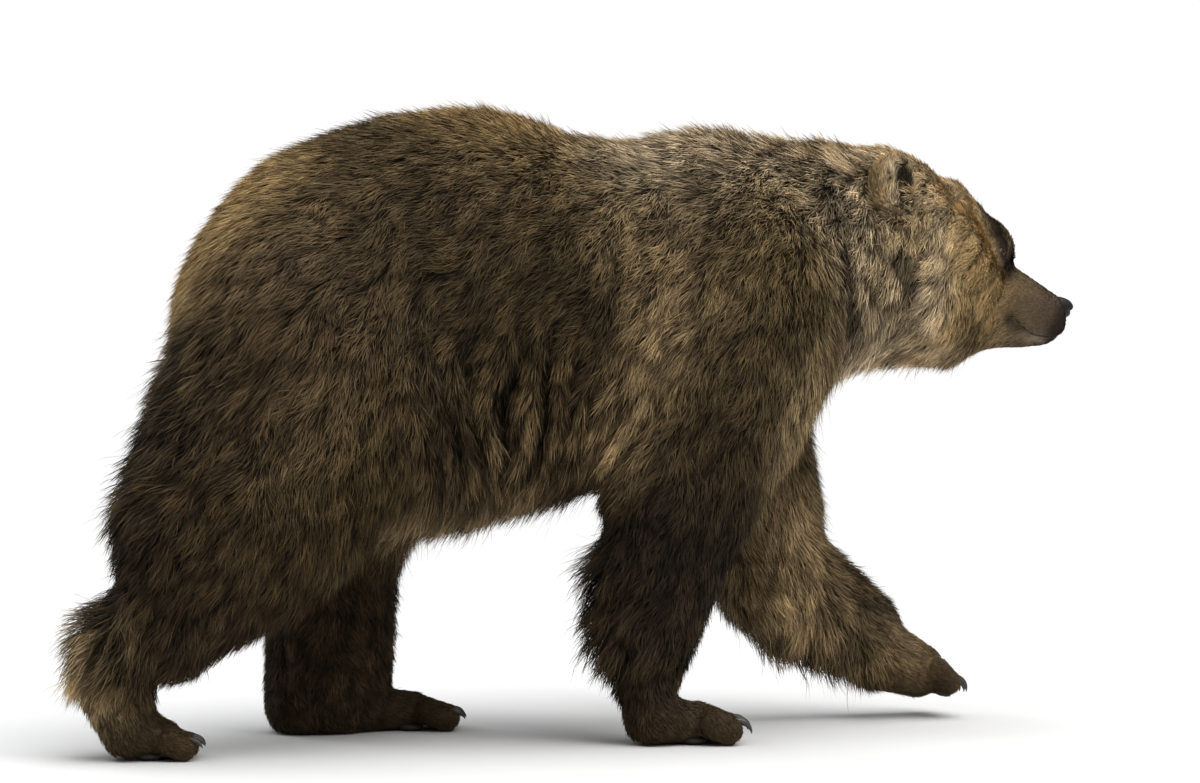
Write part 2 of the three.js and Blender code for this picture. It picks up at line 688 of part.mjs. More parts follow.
function nosePad() {
  const around = inHead([328, 0, -128]);
  const half = [40, 45, 36];
  return polygonise(fieldOf(noseMasses), [sub(around, half), add(around, half)], GRAIN.nose);
}

function nostril(side) {
  const place = inHead([NOSTRIL.centre[0], side * NOSTRIL.centre[1], NOSTRIL.centre[2]]);
  return ellipsoid(scale(NOSTRIL.reach, NOSTRIL.radius), 7, 5).translate(place);
}

function buildTrunk() {
  const whole = polygonise(bodyField, [[-900, -420, 280], [560, 420, 1200]], GRAIN.trunk);
  const legZones = Object.values(LEGS).flatMap((leg) => [zone(upperZone(leg)), zone(lowerZone(leg))]);
  const body = largest(legZones.reduce((m, z) => m.subtract(z), keep(whole, [facing(NECK_BASE)])));
  addPiece('trunk', body, surface(COLOURS.coat));
  const tail = polygonise(fieldOf(tailMasses), [[-840, -80, 480], [-670, 80, 720]], GRAIN.tail);
  addPiece('tail', largest(tail.subtract(body.translate([-GAP, 0, 0]))), surface(COLOURS.coat));
}

// ---- assembly ------------------------------------------------------------------------------
function toGeometry(body) {
  const mesh = body.getMesh();
  const stride = mesh.numProp;
  const count = mesh.vertProperties.length / stride;
  const position = new Float32Array(count * 3);
  for (let n = 0; n < count; n += 1) {
    position.set(mesh.vertProperties.slice(n * stride, n * stride + 3), n * 3);
  }
  const geometry = new THREE.BufferGeometry();
  geometry.setAttribute('position', new THREE.BufferAttribute(position, 3));
  geometry.setIndex(new THREE.BufferAttribute(new Uint32Array(mesh.triVerts), 1));
  geometry.computeVertexNormals();
  return geometry;
}

/** Every piece as a mesh, with the middle of the bear's outline over the origin. */
function assemble() {
  const group = new THREE.Group();
  group.name = 'brown_bear';
  for (const { name, body, material } of pieces) {
    const mesh = new THREE.Mesh(toGeometry(body), material);
    mesh.name = name;
    group.add(mesh);
  }
  const box = new THREE.Box3().setFromObject(group);
  const middle = box.getCenter(new THREE.Vector3());
  for (const mesh of group.children) {
    mesh.geometry.translate(-middle.x, -middle.y, -box.min.z);
  }
  return group;
}

buildTrunk();
buildHead();
const feet = buildLegs();
for (const [name, foot] of Object.entries(FEET)) {
  buildClaws(name, foot, feet[name]);
}

export default assemble();
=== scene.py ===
"""A walking brown bear at life size: one skin, its coat of tufts, eyes, nose, lips, claws and pads.

Shapes are worked out in millimetres in the bear's own directions (nose towards +X, its left towards +Y,
up +Z) and become metres in the frame when a mesh is made. The body is a smooth union of tapered round masses,
the same ones as the solids. The skin is that surface drawn in by the depth of the coat, and the coat grows
back out to it.
"""

import itertools
import logging
from dataclasses import dataclass, field
from enum import Enum
from typing import Callable, Iterator, Optional

import bpy
import numpy as np
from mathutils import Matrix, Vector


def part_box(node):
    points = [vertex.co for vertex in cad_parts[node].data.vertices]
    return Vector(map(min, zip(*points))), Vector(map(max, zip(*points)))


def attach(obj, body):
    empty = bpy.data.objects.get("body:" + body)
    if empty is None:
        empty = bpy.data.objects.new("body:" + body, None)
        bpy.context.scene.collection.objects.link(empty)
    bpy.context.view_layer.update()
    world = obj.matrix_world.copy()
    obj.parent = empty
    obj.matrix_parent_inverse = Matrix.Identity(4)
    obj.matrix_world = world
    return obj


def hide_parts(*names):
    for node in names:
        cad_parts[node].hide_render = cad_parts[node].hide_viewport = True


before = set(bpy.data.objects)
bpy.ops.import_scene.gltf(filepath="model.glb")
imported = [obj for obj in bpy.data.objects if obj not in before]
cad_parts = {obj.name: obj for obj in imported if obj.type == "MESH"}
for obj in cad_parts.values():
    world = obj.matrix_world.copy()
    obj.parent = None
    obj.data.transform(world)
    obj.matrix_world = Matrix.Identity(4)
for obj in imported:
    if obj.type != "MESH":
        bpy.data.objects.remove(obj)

Array = np.ndarray
Point = tuple[float, float, float]
Colour = tuple[float, float, float]
Radii = tuple[float, float]
Shape = tuple[Array, Array]
Thing = bpy.types.Object
Material = bpy.types.Material
Node = bpy.types.Node
Socket = bpy.types.NodeSocket
Tree = bpy.types.NodeTree

log = logging.getLogger("bear")

MM = 0.001
HEAD_PIVOT = np.array([600.0, 40.0, 900.0])
HEAD_TURN = np.radians(12.0)
EYE_CENTRE = (149.0, 61.0, -34.0)
NOSE_CENTRE = (328.0, 0.0, -128.0)
FLOOR_CLEARANCE = 0.6
CLUMP_WAY = np.array([-0.552, 0.0, -0.834])


# ---- vectors ----
def lengths(vectors: Array) -> Array:
    """The length of each row."""
    return np.linalg.norm(vectors, axis=1)


def unit(vectors: Array) -> Array:
    """Vectors divided by their lengths."""
    return vectors / np.maximum(np.linalg.norm(vectors, axis=-1, keepdims=True), 1e-9)


def dots(a: Array, b: Array) -> Array:
    """Row by row dot products, kept as a column."""
    return (a * b).sum(axis=-1, keepdims=True)


def turned(vectors: Array, angle: float) -> Array:
    """Turn vectors about +Z: x' = x cos - y sin, y' = x sin + y cos."""
    vectors = np.asarray(vectors, float)
    x, y, z = vectors[..., 0], vectors[..., 1], vectors[..., 2]
    cos, sin = np.cos(angle), np.sin(angle)
    return np.stack([x * cos - y * sin, x * sin + y * cos, z], axis=-1)


def tilted(vectors: Array, angle: float) -> Array:
    """Turn vectors about +Y: x' = x cos + z sin, z' = z cos - x sin."""
    vectors = np.asarray(vectors, float)
    x, y, z = vectors[..., 0], vectors[..., 1], vectors[..., 2]
    cos, sin = np.cos(angle), np.sin(angle)
    return np.stack([x * cos + z * sin, y, z * cos - x * sin], axis=-1)


def in_head(points: Array) -> Array:
    """Place points given in the head's own directions."""
    return HEAD_PIVOT + turned(points, HEAD_TURN)


def to_head(points: Array) -> Array:
    """Points of the body in the head's own directions."""
    return turned(points - HEAD_PIVOT, -HEAD_TURN)


def row_shift() -> Array:
    """Where the bear's own origin lies in the frame, in metres, found from the right eye's node."""
    low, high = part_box("eye_right")
    middle = (np.array(low) + np.array(high)) / 2
    x, y, z = EYE_CENTRE
    shift = middle - in_head(np.array([x, -y, z])) * MM
    shift[2] = 0.0
    return shift


SHIFT = row_shift()


def bell(distance: Array, height: float, width: float) -> Array:
    """A soft bump: height * exp(-(distance / width)^2)."""
    return height * np.exp(-(distance / width) ** 2)


def smoothstep(x: Array, low: float, high: float) -> Array:
    """Rise from 0 at low to 1 at high along 3t^2 - 2t^3."""
    t = np.clip((x - low) / (high - low), 0.0, 1.0)
    return t * t * (3.0 - 2.0 * t)


def ripples(points: Array, wavelength: float, seed: int, waves: int = 10) -> Array:
    """A smooth random field, about -1 to 1: the mean of sines along random directions.

    Args:
        points: Places, in millimetres.
        wavelength: Typical distance between crests.
        seed: Seed of the directions and phases.
        waves: How many sines are summed.

    Returns:
        One value for each point.
    """
    rng = np.random.default_rng(seed)
    ways = unit(rng.normal(size=(waves, 3)))
    pitch = 2.0 * np.pi / wavelength * rng.uniform(0.7, 1.4, waves)
    phase = rng.uniform(0.0, 2.0 * np.pi, waves)
    total = sum(np.sin(points @ way * k + p) for way, k, p in zip(ways, pitch, phase))
    return total / np.sqrt(waves)


def hashed(cells: Array, seed: int) -> Array:
    """Three repeatable pseudo-random numbers in 0..1 for each whole-number cell.

    Args:
        cells: whole numbers, (..., 3).
        seed: picks another set.

    Returns:
        the numbers, (..., 3).
    """
    primes = np.array([73856093, 19349663, 83492791], dtype=np.int64)
    mixed = (cells.astype(np.int64) * primes).sum(axis=-1) + seed * 2654435761
    out = []
    for n in range(3):
        mixed = (mixed ^ (mixed >> 13)) * 1274126177 + 374761393 * (n + 1)
        mixed &= 0x7FFFFFFF
        mixed ^= mixed >> 11
        out.append((mixed & 0xFFFFF) / float(0xFFFFF))
    return np.stack(out, axis=-1)


def clump_centres(points: Array, size: float, seed: int) -> tuple[Array, Array, Array]:
    """The nearest of a jittered set of points, one in each cube of space.

    Args:
        points: Places, in millimetres.
        size: Side of the cubes.
        seed: Seed of the jitter.

    Returns:
        The nearest centre of each point, three random numbers that all points of a clump share, and how near
        each point is to the gap between two clumps, from 0 to 1.
    """
    home = np.floor(points / size).astype(np.int64)
    best = np.full(len(points), np.inf)
    second = np.full(len(points), np.inf)
    centre = np.zeros_like(points)
    chosen = np.zeros_like(home)
    for offset in itertools.product((-1, 0, 1), repeat=3):
        cell = home + np.array(offset)
        place = (cell + hashed(cell, seed)) * size
        distance = lengths(points - place)
        nearer = distance < best
        second = np.where(nearer, best, np.minimum(second, distance))
        best[nearer] = distance[nearer]
        centre[nearer] = place[nearer]
        chosen[nearer] = cell[nearer]
    gap = 1.0 - smoothstep((second - best) / size, 0.0, 0.4)
    return centre, hashed(chosen, seed + 17), gap


def long_clumps(points: Array, size: float, seed: int) -> tuple[Array, Array, Array]:
    """Clumps as in clump_centres, twice as long along CLUMP_WAY, the way that most of the coat lies."""
    centre, luck, gap = clump_centres(points - 0.5 * dots(points, CLUMP_WAY) * CLUMP_WAY, size, seed)
    return centre + dots(centre, CLUMP_WAY) * CLUMP_WAY, luck, gap


def path_distance(points: Array, path: Array) -> Array:
    """Distance from each point to a path of straight stretches (or to its single point).

    Args:
        points: places, (n, 3).
        path: the corners in order, (m, 3).

    Returns:
        the distances, (n,).
    """
    path = np.atleast_2d(np.asarray(path, float))
    if len(path) == 1:
        return lengths(points - path[0])
    best = np.full(len(points), np.inf)
    for start, end in zip(path[:-1], path[1:]):
        axis = end - start
        t = np.clip((points - start) @ axis / (axis @ axis), 0.0, 1.0)
        best = np.minimum(best, lengths(points - start - t[:, None] * axis))
    return best


# ---- the coat's kinds ----
class Tint(Enum):
    """Colours of hair and bare skin, as linear light."""

    UMBER = (0.105, 0.07, 0.038)
    OLIVE = (0.061, 0.04, 0.016)
    CHESTNUT = (0.125, 0.085, 0.034)
    RUSSET = (0.071, 0.045, 0.0175)
    SABLE = (0.048, 0.03, 0.013)
    PITCH = (0.016, 0.0105, 0.006)
    DUSK = (0.072, 0.049, 0.03)
    TAN = (0.38, 0.265, 0.135)
    HONEY = (0.44, 0.295, 0.125)
    GOLD = (0.53, 0.385, 0.2)
    PALE = (0.66, 0.53, 0.36)
    TAUPE = (0.07, 0.05, 0.035)
    BLACK = (0.010, 0.008, 0.007)


class Part(Enum):
    """Regions that the coat's pieces are divided by."""

    TRUNK = "trunk"
    NECK = "neck"
    HEAD = "head"
    EAR = "ears"
    MUZZLE = "muzzle"
    RIGHT_HIND = "right_hind_leg"
    LEFT_HIND = "left_hind_leg"
    RIGHT_FORE = "right_fore_leg"
    LEFT_FORE = "left_fore_leg"


@dataclass(frozen=True)
class Fleece:
    """How one kind of coat grows: millimetres, lift in degrees, density in tufts a square metre."""

    tint: Tint
    length: float
    width: float
    lift: float
    depth: float
    density: float
    wave: float = 0.03
    clump: float = 0.5
    hang: float = 0.0
    frost: float = 0.5
    levels: int = 3


class Coat(Enum):
    """The kinds of coat on the bear."""

    BACK = Fleece(Tint.UMBER, 46, 1.4, 22, 22, 90000, clump=0.35, frost=0.7, levels=2)
    FLANK = Fleece(Tint.OLIVE, 50, 1.4, 22, 24, 90000, wave=0.05, clump=0.55, frost=0.6, levels=2)
    HUMP = Fleece(Tint.TAN, 54, 1.4, 26, 27, 93000, clump=0.45, frost=0.6, levels=2)
    SHOULDER = Fleece(Tint.CHESTNUT, 50, 1.4, 23, 25, 93000, wave=0.05, clump=0.45, frost=0.7, levels=2)
    NECK = Fleece(Tint.GOLD, 64, 1.8, 27, 34, 84000, wave=0.09, clump=0.9, frost=0.5)
    RUFF = Fleece(Tint.GOLD, 54, 1.7, 25, 24, 96000, wave=0.09, clump=0.85, frost=0.5)
    BEARD = Fleece(Tint.HONEY, 72, 1.8, 34, 34, 80000, wave=0.09, clump=0.65, hang=0.3, frost=0.9)
    BELLY = Fleece(Tint.UMBER, 78, 1.7, 28, 30, 60000, wave=0.05, clump=0.8, hang=0.3, frost=0.6)
    THIGH = Fleece(Tint.RUSSET, 48, 1.4, 23, 23, 90000, wave=0.04, clump=0.5, frost=0.6, levels=2)
    BREECHES = Fleece(Tint.SABLE, 64, 1.9, 32, 28, 58000, wave=0.08, clump=0.75, hang=0.1, frost=0.35)
    SHANK = Fleece(Tint.SABLE, 42, 1.4, 25, 18, 90000, wave=0.04, clump=0.55, frost=0.3, levels=2)
    FRINGE = Fleece(Tint.SABLE, 86, 1.6, 50, 30, 70000, wave=0.12, clump=0.9, hang=0.32, frost=0.3)
    ARM = Fleece(Tint.SABLE, 44, 1.4, 22, 19, 90000, wave=0.04, clump=0.45, frost=0.35, levels=2)
    SHIN = Fleece(Tint.PITCH, 32, 1.5, 20, 12, 110000, clump=0.4, frost=0.3, levels=2)
    CUFF = Fleece(Tint.SABLE, 28, 1.4, 24, 7, 120000, clump=0.6, frost=0.3, levels=2)
    PAW = Fleece(Tint.SABLE, 14, 1.2, 15, 4.5, 170000, clump=0.2, frost=0.3, levels=2)
    TOE = Fleece(Tint.SABLE, 9, 1.0, 13, 3, 250000, clump=0.1, frost=0.3, levels=2)
    CROWN = Fleece(Tint.GOLD, 24, 1.2, 16, 10, 270000, clump=0.25, frost=0.5, levels=2)
    CHEEK = Fleece(Tint.HONEY, 28, 1.2, 20, 12, 270000, wave=0.03, clump=0.35, frost=0.5, levels=2)
    BROW = Fleece(Tint.TAN, 14, 1.0, 13, 5.5, 320000, clump=0.1, frost=0.2, levels=2)
    SNOUT = Fleece(Tint.TAUPE, 7, 0.9, 13, 1.8, 330000, clump=0.0, frost=0.15, levels=2)
    LIP = Fleece(Tint.TAUPE, 6, 0.8, 15, 1.6, 300000, clump=0.0, frost=0.1, levels=2)
    EAR = Fleece(Tint.GOLD, 16, 1.2, 24, 2.5, 200000, clump=0.2, frost=0.7, levels=2)
    TAIL = Fleece(Tint.UMBER, 56, 2.1, 24, 24, 56000, clump=0.5, hang=0.2)


# ---- the body's masses ----
class Blend:
    """How far neighbouring masses flow into each other, in millimetres."""

    BODY = 60.0
    WRIST = 50.0
    ANKLE = 40.0
    CREST = 40.0
    HEAD = 30.0
    PAW = 25.0
    FACE = 20.0
    SNOUT = 18.0
    EAR = 10.0
    TOE = 6.0


@dataclass(frozen=True)
class Mass:
    """A tapered round mass between two points, with the coat that grows on it and which way that lies."""

    start: Point
    end: Point
    radii: Radii
    part: Part
    coat: Coat
    lie: Point
    blend: float = Blend.BODY
    wide: float = 1.0
    turn: float = 0.0
    end_coat: Optional[Coat] = None

    def flattened(self, vectors: Array) -> Array:
        """Vectors in the mass's own directions, with the sideways one divided by its width."""
        return turned(vectors, -self.turn) / np.array([1.0, self.wide, 1.0])

    def measured(self, points: Array) -> tuple[Array, Array]:
        """Distance beyond the tapered capsule, |q - t axis| - (r0 + t (r1 - r0)), and t, how far along."""
        axis = self.flattened(np.subtract(self.end, self.start))
        q = self.flattened(points - np.array(self.start))
        t = np.clip(q @ axis / max(axis @ axis, 1e-6), 0.0, 1.0)
        off = np.sqrt(((q - t[:, None] * axis) ** 2).sum(axis=1))
        return (off - self.radii[0] - t * (self.radii[1] - self.radii[0])) * min(1.0, self.wide), t

    def coat_value(self, name: str, t: Array) -> Array:
        """A measure of the coat, passing from the start's kind to the end's."""
        first = getattr(self.coat.value, name)
        last = getattr((self.end_coat or self.coat).value, name)
        return first + (last - first) * t


def mirrored(point: Point) -> Point:
    """The point on the other side of the middle."""
    return (point[0], -point[1], point[2])


def pair(start: Point, end: Point, radii: Radii, part: Part, coat: Coat, lie: Point,
         blend: float = Blend.BODY) -> list[Mass]:
    """The same mass on both sides of the trunk, right one first."""
    right = Mass(mirrored(start), mirrored(end), radii, part, coat, mirrored(lie), blend)
    return [right, Mass(start, end, radii, part, coat, lie, blend)]


def head_mass(start: Point, end: Point, radii: Radii, part: Part, coat: Coat, lie: Point,
              blend: float = Blend.HEAD, wide: float = 1.0, end_coat: Optional[Coat] = None) -> Mass:
    """A mass given in the head's own directions."""
    places = [tuple(in_head(np.array(p))) for p in (start, end)]
    lie = tuple(turned(lie, HEAD_TURN))
    return Mass(places[0], places[1], radii, part, coat, lie, blend, wide, HEAD_TURN, end_coat)


def head_pair(start: Point, end: Point, radii: Radii, coat: Coat, lie: Point) -> list[Mass]:
    """The same mass on both sides of the head, right one first."""
    right = head_mass(mirrored(start), mirrored(end), radii, Part.HEAD, coat, mirrored(lie))
    return [right, head_mass(start, end, radii, Part.HEAD, coat, lie)]


def trunk_masses() -> list[Mass]:
    """Barrel, croup, rump, belly, chest, hump, shoulders and neck."""
    t, n = Part.TRUNK, Part.NECK
    return [
        Mass((-330, 0, 745), (100, 0, 765), (352, 305), t, Coat.FLANK, (-0.75, 0, -0.65), wide=0.86),
        Mass((-470, 0, 790), (-240, 0, 855), (257, 258), t, Coat.BACK, (-0.9, 0, -0.45), wide=0.95),
        *pair((-530, 85, 720), (-500, 90, 660), (228, 230), t, Coat.BACK, (-0.6, 0, -0.8)),
        Mass((-330, 0, 600), (20, 0, 670), (245, 215), t, Coat.BELLY, (-0.2, 0, -1)),
        Mass((120, 0, 700), (230, 0, 720), (270, 230), t, Coat.SHOULDER, (-0.35, 0, -0.95), wide=0.9),
        Mass((220, 0, 865), (340, 0, 850), (226, 215), t, Coat.HUMP, (-0.75, 0, -0.65), wide=0.9),
        Mass((250, -120, 800), (170, -150, 600), (175, 160), t, Coat.SHOULDER, (-0.4, 0, -0.9)),
        Mass((260, 120, 800), (240, 150, 600), (175, 155), t, Coat.SHOULDER, (-0.3, 0, -0.95)),
        Mass((360, 0, 850), (530, 30, 860), (208, 182), n, Coat.NECK, (-0.65, 0, -0.75), wide=0.95,
             end_coat=Coat.RUFF),
        Mass((-745, 0, 640), (-770, 0, 560), (45, 35), t, Coat.TAIL, (-0.3, 0, -1), Blend.FACE),
    ]


def hind_masses() -> list[Mass]:
    """Right hind leg, swung back with its heel lifted, and left hind leg, flat on its sole."""
    r, l = Part.RIGHT_HIND, Part.LEFT_HIND
    return [
        Mass((-490, -140, 620), (-600, -165, 430), (205, 185), r, Coat.THIGH, (-0.3, 0, -0.95)),
        Mass((-660, -120, 640), (-765, -165, 390), (135, 122), r, Coat.BREECHES, (-0.6, 0, -0.8)),
        Mass((-660, -170, 400), (-800, -175, 250), (150, 90), r, Coat.SHANK, (-0.5, 0, -0.85)),
        Mass((-640, -170, 310), (-770, -175, 195), (107, 73), r, Coat.SHANK, (-0.5, 0, -0.85)),
        Mass((-872, -175, 190), (-865, -175, 100), (88, 60), r, Coat.FRINGE, (-0.45, 0, -0.9), Blend.ANKLE,
             end_coat=Coat.CUFF),
        Mass((-845, -175, 48), (-795, -172, 32), (52, 36), r, Coat.PAW, (0.7, 0, -0.6), Blend.PAW, 1.4),
        Mass((-450, 140, 620), (-430, 160, 420), (200, 145), l, Coat.THIGH, (-0.15, 0, -1)),
        Mass((-448, 160, 360), (-462, 162, 100), (122, 114), l, Coat.SHANK, (0, 0, -1), end_coat=Coat.CUFF),
        Mass((-515, 162, 45), (-310, 165, 34), (60, 36), l, Coat.PAW, (0.8, 0, -0.5), Blend.PAW, 1.4),
    ]


def fore_masses() -> list[Mass]:
    """Right foreleg, upright under the shoulder, and left foreleg, lifted and reaching forward."""
    r, l = Part.RIGHT_FORE, Part.LEFT_FORE
    return [
        Mass((220, -140, 700), (120, -165, 480), (165, 150), r, Coat.ARM, (-0.35, 0, -0.95)),
        Mass((90, -170, 400), (40, -170, 102), (130, 57), r, Coat.SHIN, (-0.25, 0, -1), Blend.WRIST,
             end_coat=Coat.CUFF),
        Mass((0, -172, 300), (-8, -172, 200), (78, 66), r, Coat.FRINGE, (-0.7, 0, -0.7), Blend.ANKLE, 0.9),
        Mass((50, -170, 44), (125, -168, 34), (50, 38), r, Coat.PAW, (0.75, 0, -0.6), Blend.PAW, 1.4),
        Mass((260, 130, 660), (330, 150, 400), (150, 135), l, Coat.ARM, (0.15, 0, -1)),
        Mass((370, 150, 270), (540, 155, 175), (125, 72), l, Coat.ARM, (0.55, 0, -0.8), Blend.WRIST,
             end_coat=Coat.CUFF),
        Mass((380, 150, 185), (500, 155, 140), (62, 45), l, Coat.FRINGE, (0.1, 0, -1), Blend.ANKLE, 0.9),
        Mass((585, 156, 114), (650, 158, 88), (68, 54), l, Coat.PAW, (0.85, 0, -0.4), Blend.HEAD, 1.25),
    ]


def head_masses() -> list[Mass]:
    """Nape, skull, forehead, cheeks, jowls, muzzle, lips, lower jaw and throat beard."""
    h, m, n = Part.HEAD, Part.MUZZLE, Part.NECK
    return [
        Mass((430, 0, 930), (530, 20, 955), (136, 105), n, Coat.RUFF, (-0.9, 0, -0.3), Blend.CREST,
             end_coat=Coat.CROWN),
        head_mass((-50, 0, -20), (0, 0, -25), (138, 118), h, Coat.CROWN, (-0.95, 0, -0.2)),
        head_mass((52, 0, -4), (141, 0, -34), (114, 78), h, Coat.CROWN, (-0.95, 0, 0.25), Blend.FACE, 0.9,
                  Coat.BROW),
        *head_pair((20, 70, -45), (100, 45, -85), (95, 68), Coat.CHEEK, (-0.85, 0.25, -0.4)),
        *head_pair((-20, 75, -130), (60, 45, -150), (95, 70), Coat.CHEEK, (-0.75, 0.2, -0.6)),
        head_mass((170, 0, -106), (285, 0, -143), (71, 46), m, Coat.SNOUT, (-1, 0, 0.1), Blend.SNOUT, 0.95),
        head_mass((240, 0, -160), (302, 0, -160), (34, 27), m, Coat.LIP, (-0.7, 0, -0.6), Blend.FACE, 1.15),
        head_mass((90, 0, -165), (275, 0, -172), (62, 28), m, Coat.BROW, (-0.95, 0, -0.3), Blend.HEAD, 0.95,
                  Coat.SNOUT),
        Mass((470, 20, 785), (660, 60, 745), (135, 88), n, Coat.BEARD, (-0.5, 0, -0.9), Blend.WRIST, 0.9),
    ]


# ---- toes ----
TOES = 5
TOE_FAN = 0.08
TOE_TAPER = 0.95
TOE_STEP_BACK = 4.0
CLAW_ROOT = 8.0
CLAW_SEAT = np.radians(48.0)
CLAW_LIFT = 0.25


@dataclass(frozen=True)
class Claw:
    """A claw's length round its arc, its half width at the root, and how far it curls, in radians."""

    length: float
    radius: float
    curl: float


FORE_CLAW = Claw(42.0, 5.6, 1.8)
HIND_CLAW = Claw(30.0, 4.6, 1.5)


@dataclass(frozen=True)
class Foot:
    """Where a foot's ball is, how its toes are set and what claws they carry."""

    name: str
    part: Part
    ball: Point
    pitch: float
    spacing: float
    length: float
    radius: float
    drop: float
    claw: Claw

    def toes(self) -> Iterator[tuple[Array, Array, Array]]:
        """Each toe's root, tip and direction, from the bear's right to its left."""
        for k in np.arange(TOES) - (TOES - 1) / 2:
            fan = TOE_FAN * k
            cos = np.cos(fan)
            along = np.array([np.cos(self.pitch) * cos, np.sin(fan), -np.sin(self.pitch) * cos])
            root = np.array(self.ball) + [0.0, k * self.spacing, 0.0]
            reach = self.length - TOE_STEP_BACK * abs(k) ** 1.5
            yield root, root + along * reach - [0.0, 0.0, self.drop], along

    def masses(self) -> list[Mass]:
        """The toes as masses."""
        radii = (self.radius, self.radius * TOE_TAPER)
        lie = (np.cos(self.pitch), 0.0, -0.5)
        return [Mass(tuple(root), tuple(tip), radii, self.part, Coat.TOE, lie, Blend.TOE)
                for root, tip, _ in self.toes()]

    def claw_starts(self) -> Iterator[tuple[Array, float]]:
        """Where each claw leaves its toe, and its heading."""
        for _, tip, along in self.toes():
            seat = self.radius * TOE_TAPER - CLAW_ROOT
            start = tip + along * seat * np.cos(CLAW_SEAT) + [0.0, 0.0, seat * np.sin(CLAW_SEAT)]
            yield start, float(np.arctan2(along[1], along[0]))


FEET = (
    Foot("right_hind", Part.RIGHT_HIND, (-790, -172, 34), 0.0, 25, 34, 26, 13, HIND_CLAW),
    Foot("left_hind", Part.LEFT_HIND, (-290, 165, 35), 0.0, 25, 44, 26, 13, HIND_CLAW),
    Foot("right_fore", Part.RIGHT_FORE, (146, -168, 39), 0.0, 27, 35, 30, 13, FORE_CLAW),
    Foot("left_fore", Part.LEFT_FORE, (672, 158, 90), 0.45, 27, 36, 27, 11, FORE_CLAW),
)


# ---- ears ----
@dataclass(frozen=True)
class Ear:
    """A cupped ear: an ellipsoid with a smaller one hollowed out of its front."""

    side: int
    centre: Point = (-122, 148, 74)
    outer: Point = (48, 58, 54)
    hollow: Point = (43, 46, 45)
    hollow_shift: Point = (26, 0, -3)
    outward: float = np.radians(50.0)
    tilt: float = np.radians(-10.0)
    root_fade: tuple[float, float] = (-3.0, 7.0)
    bowl_fade: tuple[float, float] = (4.0, 10.0)
    rim_from_bowl: float = 8.0
    rim_spread: tuple[float, float] = (10.0, 13.0)

    def local(self, points: Array) -> Array:
        """Points in the ear's own directions: opening towards +X, up +Z."""
        place = in_head(np.array([self.centre[0], self.side * self.centre[1], self.centre[2]]))
        heading = self.side * self.outward + HEAD_TURN
        return tilted(turned(points - place, -heading), -self.tilt)

    def outward_lie(self) -> Array:
        """The way from the ear's root to its rim, in body directions."""
        return unit(turned(np.array([-0.25, self.side * 0.45, 0.85]), HEAD_TURN))

    @staticmethod
    def ellipsoid(q: Array, half: Array) -> Array:
        """Nearly the distance to an ellipsoid: k (k - 1) / |q / half^2|, with k = |q / half|."""
        k = lengths(q / half)
        steep = lengths(q / half ** 2)
        return k * (k - 1.0) / np.maximum(steep, 1e-6)

    def cup(self, points: Array) -> Array:
        """Distance to the coat's surface of the cup."""
        q = self.local(points)
        shell = self.ellipsoid(q, np.array(self.outer, float))
        return np.maximum(shell, -self.bowl(points))

    def bowl(self, points: Array) -> Array:
        """Distance to the hollow, negative inside it."""
        q = self.local(points) - np.array(self.hollow_shift, float)
        return self.ellipsoid(q, np.array(self.hollow, float))

    def cover(self, points: Array) -> Array:
        """1 on the ear, fading to 0 just outside it."""
        outside = self.ellipsoid(self.local(points), np.array(self.outer, float))
        return 1.0 - smoothstep(outside, *self.root_fade)

    def inside(self, points: Array) -> Array:
        """1 in the hollow, fading to 0 at its rim."""
        return (1.0 - smoothstep(self.bowl(points), *self.bowl_fade)) * self.cover(points)

    def rim(self, points: Array) -> Array:
        """1 along the rim, where the hollow meets the outside."""
        outside = self.ellipsoid(self.local(points), np.array(self.outer, float))
        off, along = self.rim_spread
        return np.exp(-(outside / off) ** 2 - ((self.bowl(points) - self.rim_from_bowl) / along) ** 2)


EARS = (Ear(-1), Ear(1))


# ---- the field ----
WEIGHT_REACH = 24.0
WEIGHT_LIMIT = 700.0
EYE_SOCKET = 24.0
FOLD_PITCH = 44.0
FOLD_DEPTH = 21.0
FOLD_MIDDLE = -215.0
FOLD_HEIGHT = 520.0
FOLD_FAN = 400.0
FOLD_WAVES = ((6.0, np.inf, 43.0), (8.0, 67.0, np.inf), (7.0, 31.0, 58.0))
FOLD_PLACE = (-195.0, 560.0)
FOLD_REACH = (190.0, 150.0)
FOLD_SIDE = (90.0, 190.0)
MOUTH = ((184, 57, -150), (198, 54, -163), (216, 50, -178), (244, 43, -189), (280, 33, -192), (308, 21, -188),
         (324, 8, -180), (328, 0, -178))
SOCKET = ((184, 62, -40), (210, 46, -52))
LIP_RISE = (0.0, 2.0, 11.0)
CREASE_BELL = (4.0, 4.0)
LIP_BELL = (2.0, 10.0)
SEAT_BELL = (2.5, 27.0)
SOCKET_BELL = (8.0, 17.0)
FACE_AHEAD = 120.0
FACE_FRONT = (-150.0, 70.0)
FACE_LOW = (-240.0, -150.0)
FACE_SLANT = 0.35
FACE_DEPTHS = (34.0, 25.0)
LID_DEPTH = 2.6


def soft_union(total: Array, d: Array, blend: float) -> Array:
    """Smooth minimum: mix(d, total, h) - blend h (1 - h), with h = clamp(0.5 + (d - total) / 2 blend)."""
    h = np.clip(0.5 + 0.5 * (d - total) / blend, 0.0, 1.0)
    return d + (total - d) * h - blend * h * (1.0 - h)


